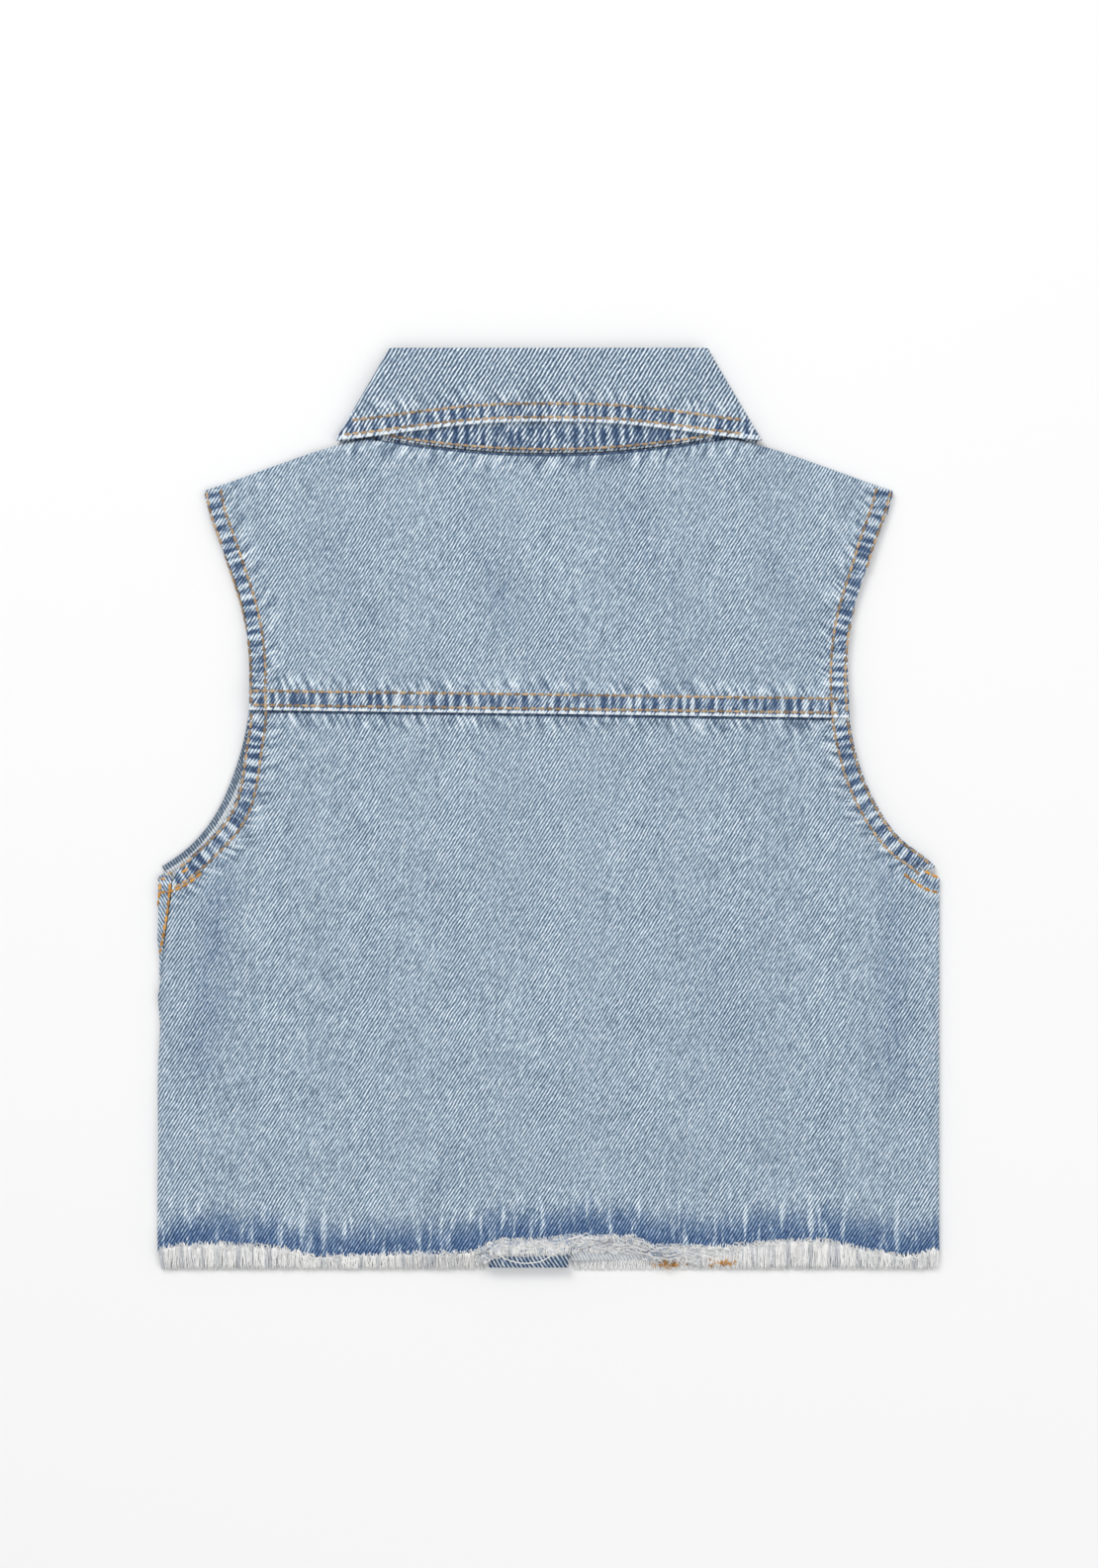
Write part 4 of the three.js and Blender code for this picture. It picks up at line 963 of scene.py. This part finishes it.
def stitch_frames(line, tree, down):
    """Places and axes for stitches along a plane line, each laid on the cloth that a ray finds."""
    run = even_points(line, STITCH_LENGTH)
    frames = []
    for a, b in zip(run[:-1], run[1:]):
        hits = [tree.ray_cast((end[0], end[1], -RAY_START * down), (0, 0, down))[0] for end in (a, b)]
        if None in hits or abs(hits[0][2] - hits[1][2]) > HIGHEST_STEP:
            continue
        ends = np.array(hits)
        way = ends[1] - ends[0]
        way /= np.linalg.norm(way)
        side = np.cross((0, 0, -down), way)
        side /= np.linalg.norm(side)
        up = np.cross(way, side)
        place = ends.mean(0) + up * STITCH_RAISE
        place[2] = max(place[2], STITCH_HIGH + 0.01)
        frames.append((place, np.array([way, side, up])))
    return frames


def stitch_rows(name, lines, tree, material, down=-1):
    """One piece with every stitch of some rows."""
    frames = [frame_here for line in lines for frame_here in stitch_frames(line, tree, down)]
    places = np.array([place for place, axes in frames])
    axes = np.array([axes for place, axes in frames])
    points = (np.einsum("pk,nkj->npj", stitch_points, axes) + places[:, None, :]).reshape(-1, 3)
    count = len(stitch_points)
    faces = [tuple(k * count + i for i in face) for k in range(len(frames)) for face in stitch_faces]
    tints = np.repeat(np.random.default_rng(len(frames)).random(len(frames)), count)
    return new_piece(name, points, faces, tints, material)


def beside(line, y_of, rise):
    """A line a little above an edge."""
    return np.stack([line, y_of(line) + rise], 1)


# %% [markdown]
# The rows stand where a twin needle puts them: close to the turned edge and a gauge further in, along
# the yoke, both armholes and the collar.

# %% Rows on the back and the collar
back_tree = surface_tree(back, yoke, fronts["front_left"], fronts["front_right"])
YOKE_ROW, ARMHOLE_ROW = 2.3, 0.9
yoke_rows = [beside(np.arange(-134.5, 135.5, 4.0), seam_y, YOKE_ROW + gap) for gap in (0, ROW_GAP)]
stitch_rows("yoke_stitches", yoke_rows, back_tree, tan_thread)
armhole_rows = [offset_line(line, side * inset) for line, side in ((left_armhole, 1), (right_armhole, -1))
                for inset in (ARMHOLE_ROW, 7.5)]
stitch_rows("armhole_stitches", armhole_rows, back_tree, tan_thread)
collar_tree = surface_tree(leaf, stand)
collar_rows = [beside(np.arange(-93, 94, 4.0), leaf_y, rise) for rise in (1.9, 8.1)]
collar_rows.append(beside(np.arange(-76, 77, 4.0), neck_y, 2.2))
stitch_rows("collar_stitches", collar_rows, collar_tree, tan_thread)

# %% [markdown]
# The side seam is sewn with a brighter mustard thread, and it curves into the armhole's rows. The rows
# on the fronts, the bands and the collar's front are hidden below and are made in the same way.

# %% Rows at the left side seam and under the fronts
SIDE_SEAM = np.array([(-30.6, 170.6), (-45, 171.8), (-77, 177.6)])
side_y = np.arange(-33, -78, -4.0)
side_x = -np.interp(-side_y, -SIDE_SEAM[:, 0], SIDE_SEAM[:, 1])
side_rows = [np.stack([side_x - out, side_y], 1) for out in (1.1, 5.6)]
UNDERARM_ROWS = (((-177.2, -31.4), (-170, -30.6), (-163, -26.0)),
                 ((-177.2, -37.4), (-171, -37.0), (-164, -33.6), (-157, -28.0)),
                 ((177.2, -30.6), (172, -28.6), (168, -25.6)),
                 ((177.2, -37.6), (171, -36.0), (165, -32.0), (160, -27.6)))
side_rows += [np.array(row) for row in UNDERARM_ROWS]
stitch_rows("side_seam_stitches", side_rows, back_tree, mustard_thread)

under_tree = surface_tree(*fronts.values(), yoke, leaf, *bands.values())
under_rows = [offset_line(line, side * inset)
              for line, side in ((left_front_armhole, 1), (right_front_armhole, -1)) for inset in (1.2, 7.5)]
band_y = np.arange(82, -206, -4.0)
band_middle = band_x(band_y)
under_rows += [np.stack([band_middle + across, band_y], 1) for across in (-16.4, 16.4)]
under_rows += [np.stack([side * np.full(40, 171.0), np.linspace(-40, -200, 40)], 1) for side in (1, -1)]
for side in (1, -1):
    for inset in (2.2, 8.2):
        under_rows.append(offset_line(leaf_front, inset) * (side, 1))
stitch_rows("front_stitches", under_rows, under_tree, tan_thread, down=1)

# %% [markdown]
# ## Frayed hem
# The hem was cut and washed raw. Its weft yarns fell out, and the white ends of the warp hang down in
# a soft comb. Near the middle they are short and matted into curls, over the end of the button band
# and the pale wrong side of the front. Each loose yarn is a thin three-sided tube along its own bent
# line, and hundreds are joined in one mesh.

# %% Tubes along lines
def tubes(name, lines, radii, tints, material, sides=3):
    """Thin closed tubes along lines of points in mm, joined in one piece."""
    points, faces, shades = [], [], []
    for line, radius, shade in zip(lines, radii, tints):
        line = np.asarray(line, float)
        along = np.gradient(line, axis=0)
        along /= np.linalg.norm(along, axis=1)[:, None] + 1e-9
        side = np.cross(along, (0.13, 0.21, 0.97))
        side /= np.linalg.norm(side, axis=1)[:, None] + 1e-9
        up = np.cross(along, side)
        start, steps = len(points), len(line)
        for k in range(steps):
            thin = radius * (1 if k < steps - 1 else 0.4)
            for j in range(sides):
                angle = 2 * math.pi * j / sides
                points.append(line[k] + thin * (math.cos(angle) * side[k] + math.sin(angle) * up[k]))
        for k in range(steps - 1):
            for j in range(sides):
                a, b = start + k * sides + j, start + k * sides + (j + 1) % sides
                faces.append((b, a, a + sides, b + sides))
        faces.append(tuple(start + j for j in range(sides)))
        faces.append(tuple(start + (steps - 1) * sides + j for j in reversed(range(sides))))
        shades += [shade] * (steps * sides)
    piece = new_piece(name, points, faces, shades, material)
    select_only(piece)
    bpy.ops.object.mode_set(mode="EDIT")
    bpy.ops.mesh.select_all(action="SELECT")
    bpy.ops.mesh.normals_make_consistent(inside=False)
    bpy.ops.object.mode_set(mode="OBJECT")
    return piece


chance = np.random.default_rng(21)


# %% [markdown]
# A warp end hangs from the cut edge and leans, curls and sags a little by chance. All the chances come
# from one seeded source, so each run gives the same yarns.

# %% One warp end
def hanging_yarn(x, root_y, root_z, tip_y, tip_z, lean, curl, steps=7):
    """One warp end, from the cloth's edge to its tip."""
    t = np.linspace(0, 1, steps)
    wander = curl * np.sin(t * chance.uniform(3, 7) + chance.uniform(0, 6)) * t
    sag = 0.5 * np.sin(math.pi * t) * chance.uniform(-0.4, 1)
    zs = root_z + (tip_z - root_z) * t + sag
    return np.stack([x + lean * t ** 1.5 + wander, root_y + (tip_y - root_y) * t, np.maximum(zs, 0.3)], 1)


USUAL_HEIGHT = 2.6


def back_height(x, y):
    """Height of the back's upper face, in mm."""
    hit = back_tree.ray_cast((x, y, RAY_START), (0, 0, -1))[0]
    return USUAL_HEIGHT if hit is None else hit[2]


# %% [markdown]
# More than a thousand warp ends hang from the edge. They lean together in clumps, so both their lean
# and their tint come from a slow noise, and only a little from chance.

# %% The comb of the back hem
TIPS = np.array([(-178, -209.0), (-35, -209.0), (-31, -203.4), (8, -202.6), (30, -202.4), (58, -204.2),
                 (66, -208.4), (80, -209.0), (178, -209.0)])
BAND_END = (-27.0, 9.5)
YARN_SPACING = 0.21
yarns, tints = [], []
for x in np.arange(-177.0, 177.0, YARN_SPACING):
    tints.append(min(1, max(0, 0.8 + 1.1 * noise.noise(Vector((x / 1.2, 5.5, 0))))))
    clump = 1.6 * noise.noise(Vector((x / 5, 3.1, 0)))
    root = hem_y(x) + 0.9 * noise.noise(Vector((x / 2.2, 1, 0)))
    top = back_height(x, root + 2.5) + 0.3
    tip = np.interp(x, TIPS[:, 0], TIPS[:, 1]) + abs(chance.normal(0, 0.9))
    tip += 1.3 * max(0, noise.noise(Vector((x / 9, 8, 0))))
    over_band = BAND_END[0] < x < BAND_END[1]
    tip_z = (6.6 if over_band else 1.7) + chance.uniform(-0.2, 0.6)
    start = root + 0.4 + 2.2 * chance.random() ** 3
    yarns.append(hanging_yarn(x, start, top, min(tip, root - 3.0), tip_z,
                              clump + chance.normal(0, 0.5), chance.uniform(0.1, 0.6)))
comb = tubes("back_hem_yarns", yarns, chance.uniform(0.20, 0.32, len(yarns)), tints, bleached_yarn)
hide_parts("back_hem_fringe")

# %% [markdown]
# The hems of the fronts lie flat on the table, a few millimetres lower than the back's. Their yarns
# are shorter and straighter, and they stop at the button bands.

# %% The combs of the front hems
FRONT_ROOT_Y, FRONT_TIP_Y = -203.8, -209.4
FRONT_ROOT_Z, FRONT_TIP_Z = 1.2, 0.7
for side, node in ((-1, "front_hem_fringe_left"), (1, "front_hem_fringe_right")):
    reach = sorted((BAND_END[side > 0] + side * 2, side * 175))
    yarns = [hanging_yarn(x, FRONT_ROOT_Y, FRONT_ROOT_Z, FRONT_TIP_Y + abs(chance.normal(0, 0.4)),
                          FRONT_TIP_Z, chance.normal(0, 0.4), 0.3) for x in np.arange(*reach, 0.32)]
    piece = tubes(node.replace("fringe", "yarns"), yarns, chance.uniform(0.20, 0.30, len(yarns)),
                  chance.uniform(0.5, 1, len(yarns)), bleached_yarn)
    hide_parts(node)


# %% [markdown]
# In the wash, loose weft matted into small loops. One loop is a growing spiral, nearly flat, and many
# are strewn along the edge, thickest over the end of the button band.

# %% Curls in the matted middle of the hem
def curl(x, y, z, size, turns):
    """A loop of yarn that grows as it turns, lying nearly flat."""
    turn = np.linspace(0, turns, 9) + chance.uniform(0, 6)
    grow = size * np.linspace(0.5, 1, 9)
    flat = [grow * np.cos(turn), 0.8 * grow * np.sin(turn), 0.25 * np.sin(2 * turn)]
    return np.array([x, y, z]) + np.stack(flat, 1)


def curls_between(low, high, count, drop):
    """Curls strewn by chance along a stretch of the hem."""
    made = []
    for x in chance.uniform(low, high, count):
        root = hem_y(x)
        y = root - chance.uniform(-1.6, drop)
        z = back_height(x, root + 2) + chance.uniform(0.5, 1.1) - 0.30 * max(root - y, 0)
        made.append(curl(x, y, max(z, 2.4), chance.uniform(0.6, 1.7), chance.uniform(3, 7)))
    return made


white_curls = (curls_between(-33, 72, 520, 6.2) + curls_between(72, 104, 70, 3)
               + curls_between(-172, 172, 150, 1))
tubes("back_hem_curls", white_curls, chance.uniform(0.20, 0.32, len(white_curls)),
      chance.uniform(0.2, 1, len(white_curls)), bleached_yarn)
pale_curls = curls_between(-30, 70, 240, 5.0)
tubes("back_hem_blue_curls", pale_curls, np.full(len(pale_curls), 0.2), chance.random(len(pale_curls)),
      blue_yarn)

# %% [markdown]
# Some weft yarns came half free and lie along the hem in long waves. They tie the curls together, as
# a sparse second layer over them.

# %% Wisps: weft yarns that hang loose along the hem
wisps = []
for _ in range(46):
    x, length = chance.uniform(-30, 66), chance.uniform(7, 22)
    run = np.linspace(0, 1, 16)
    drop = chance.uniform(-0.8, 4.6)
    xs = x + length * run
    sway = chance.uniform(0.3, 0.9) * np.sin(run * chance.uniform(5, 14) + chance.uniform(0, 6))
    ys = hem_y(xs) - drop + sway
    top = back_height(x, float(hem_y(x)) + 2) + 1.0 - 0.30 * max(drop, 0)
    wisps.append(np.stack([xs, ys, np.full(16, max(top, 2.8)) + 0.3 * np.sin(run * 9)], 1))
tubes("back_hem_wisps", wisps, np.full(len(wisps), 0.24), chance.uniform(0.4, 1, len(wisps)), bleached_yarn)


# %% [markdown]
# A few threads catch the eye, so they are given one by one through a few points each. The mustard bits
# are what the wash left of the band's own stitching.

# %% Loose threads: a long arc, a few slanting ends, and bits of mustard seam thread
def bend_through(points, steps=14):
    """A smooth line through a few given points."""
    return even_points(points, np.linalg.norm(np.diff(points, axis=0), axis=1).sum() / steps)


LONG_ARC = np.array([(-25.5, -199.5, 6.9), (-20, -203.6, 7.2), (-12, -205.8, 7.2), (-3, -204.8, 7.2),
                     (3.5, -200.6, 6.8)])
loose = [bend_through(LONG_ARC)]
for x, run in ((54, 5.2), (57, 6.0), (61, 5.0), (66, 6.5), (-28.6, 0.6), (-27.8, 0.3)):
    ends = np.array([(x + run, -199.0, 3.4), (x + run * 0.5, -203, 3.3), (x - 0.4, -208.2, 2.0)])
    loose.append(bend_through(ends, 8))
tubes("hem_loose_threads", loose, np.full(len(loose), 0.3), np.full(len(loose), 0.9), bleached_yarn)
bits = []
for middle, spread, count in ((54.5, 6.0, 30), (79.0, 6.0, 24), (7.0, 2.0, 5)):
    for x in chance.normal(middle, spread * 0.5, count):
        bits.append(curl(x, -206.2 + chance.normal(0, 1.0), 2.4 + chance.uniform(0, 0.8),
                         chance.uniform(0.5, 1.4), chance.uniform(2, 5)))
tubes("hem_mustard_bits", bits, np.full(len(bits), 0.24), chance.random(len(bits)), mustard_thread)

# %% [markdown]
# ## Metal buttons
# Jacket buttons are a stamped metal cap over a rivet. They face the table here, but the part is seen
# from below too. One is modelled from a cylinder: its lower face is inset into a rim and a dished
# middle, its upper face is inset and pulled up into the shank, and a bevel rounds its edges. It is
# then copied to every buttonhole.

# %% Button metal
def antiqued_brass():
    """Brass that was plated, tumbled and lacquered: bright on the rim and brown in the hollows."""
    material, shader = new_material("antiqued_brass")
    place = add_node(material, "ShaderNodeTexCoord").outputs["Object"]
    patina = add_node(material, "ShaderNodeTexNoise", {"Vector": place, "Scale": 420.0, "Detail": 4.0})
    colour = add_node(material, "ShaderNodeValToRGB", {"Fac": patina},
                      stops=((0.3, "#8d7850"), (0.7, "#ad9465")))
    material.node_tree.links.new(colour.outputs["Color"], shader.inputs["Base Color"])
    shader.inputs["Metallic"].default_value = 1
    shader.inputs["Roughness"].default_value = 0.38
    return material


brass = antiqued_brass()

# %% [markdown]
# The stages of the cap are cut by inset and extrude on one cylinder, which is quicker than a spun
# outline here and keeps the faces even. Each copy has its own mesh, moved to its buttonhole.

# %% One button, copied to six places
BUTTON_RADIUS, CAP_HEIGHT, RIM, DISH = 7.4, 2.0, 1.5, 0.5


def select_faces(piece, chosen):
    """Selects the faces whose normals pass a test, and leaves the piece in edit mode."""
    select_only(piece)
    bpy.ops.object.mode_set(mode="EDIT")
    bpy.ops.mesh.select_mode(type="FACE")
    bpy.ops.mesh.select_all(action="DESELECT")
    bpy.ops.object.mode_set(mode="OBJECT")
    for face in piece.data.polygons:
        face.select = chosen(face.normal)
    bpy.ops.object.mode_set(mode="EDIT")


low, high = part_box("button_1")
deselect()
bpy.ops.mesh.primitive_cylinder_add(vertices=40, radius=BUTTON_RADIUS * MM, depth=CAP_HEIGHT * MM,
                                    location=(0, 0, CAP_HEIGHT / 2 * MM))
model = bpy.context.object
bpy.ops.object.transform_apply(location=True, rotation=False, scale=False)
select_faces(model, lambda normal: normal.z < -0.9)
bpy.ops.mesh.inset(thickness=RIM * MM)
bpy.ops.mesh.inset(thickness=DISH * MM, depth=-DISH * MM)
bpy.ops.mesh.inset(thickness=2.2 * MM, depth=0.15 * MM)
bpy.ops.object.mode_set(mode="OBJECT")
select_faces(model, lambda normal: normal.z > 0.9)
bpy.ops.mesh.inset(thickness=5.9 * MM)
bpy.ops.mesh.extrude_region_move(TRANSFORM_OT_translate={"value": (0, 0, high.z - low.z - CAP_HEIGHT * MM)})
bpy.ops.object.mode_set(mode="OBJECT")
rounding = model.modifiers.new("rounding", "BEVEL")
rounding.width, rounding.segments, rounding.limit_method = 0.3 * MM, 3, "ANGLE"
bpy.ops.object.modifier_apply(modifier="rounding")
bpy.ops.object.shade_smooth_by_angle(angle=math.radians(40))
model.data.materials.append(brass)
button_points = points_of(model)
for k in range(1, 7):
    low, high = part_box(f"button_{k}")
    button = bpy.data.objects.new(f"shank_button_{k}", model.data.copy())
    bpy.context.scene.collection.objects.link(button)
    move_points(button, button_points + np.array([(low.x + high.x) / 2, (low.y + high.y) / 2, low.z]) / MM)
    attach(button, "root")
    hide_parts(f"button_{k}")
bpy.data.objects.remove(model)
print("buttons of", len(button_points), "points")

# %% [markdown]
# ## Sheets
# Every piece of cloth is listed with the size that it was cut to, and its measured area is printed beside
# the cut area.

CUTS = {
    "lower_back": (0.374, 0.262, 0.0868), "yoke": (0.313, 0.140, 0.0350),
    "front_panel_left": (0.172, 0.365, 0.0480), "front_panel_right": (0.167, 0.365, 0.0490),
    "button_band_left": (0.036, 0.320, 0.0113), "button_band_right": (0.036, 0.320, 0.0113),
    "collar_stand_cloth": (0.420, 0.040, 0.0098), "collar_leaf_cloth": (0.500, 0.062, 0.0200),
}
for piece in (back, yoke, *fronts.values(), *bands.values(), stand, leaf):
    width, length, area = CUTS[piece.name]
    measured = sum(face.area for face in piece.data.polygons) / 2
    print(piece.name, "measures", round(measured, 4), "square metres, cut", area)
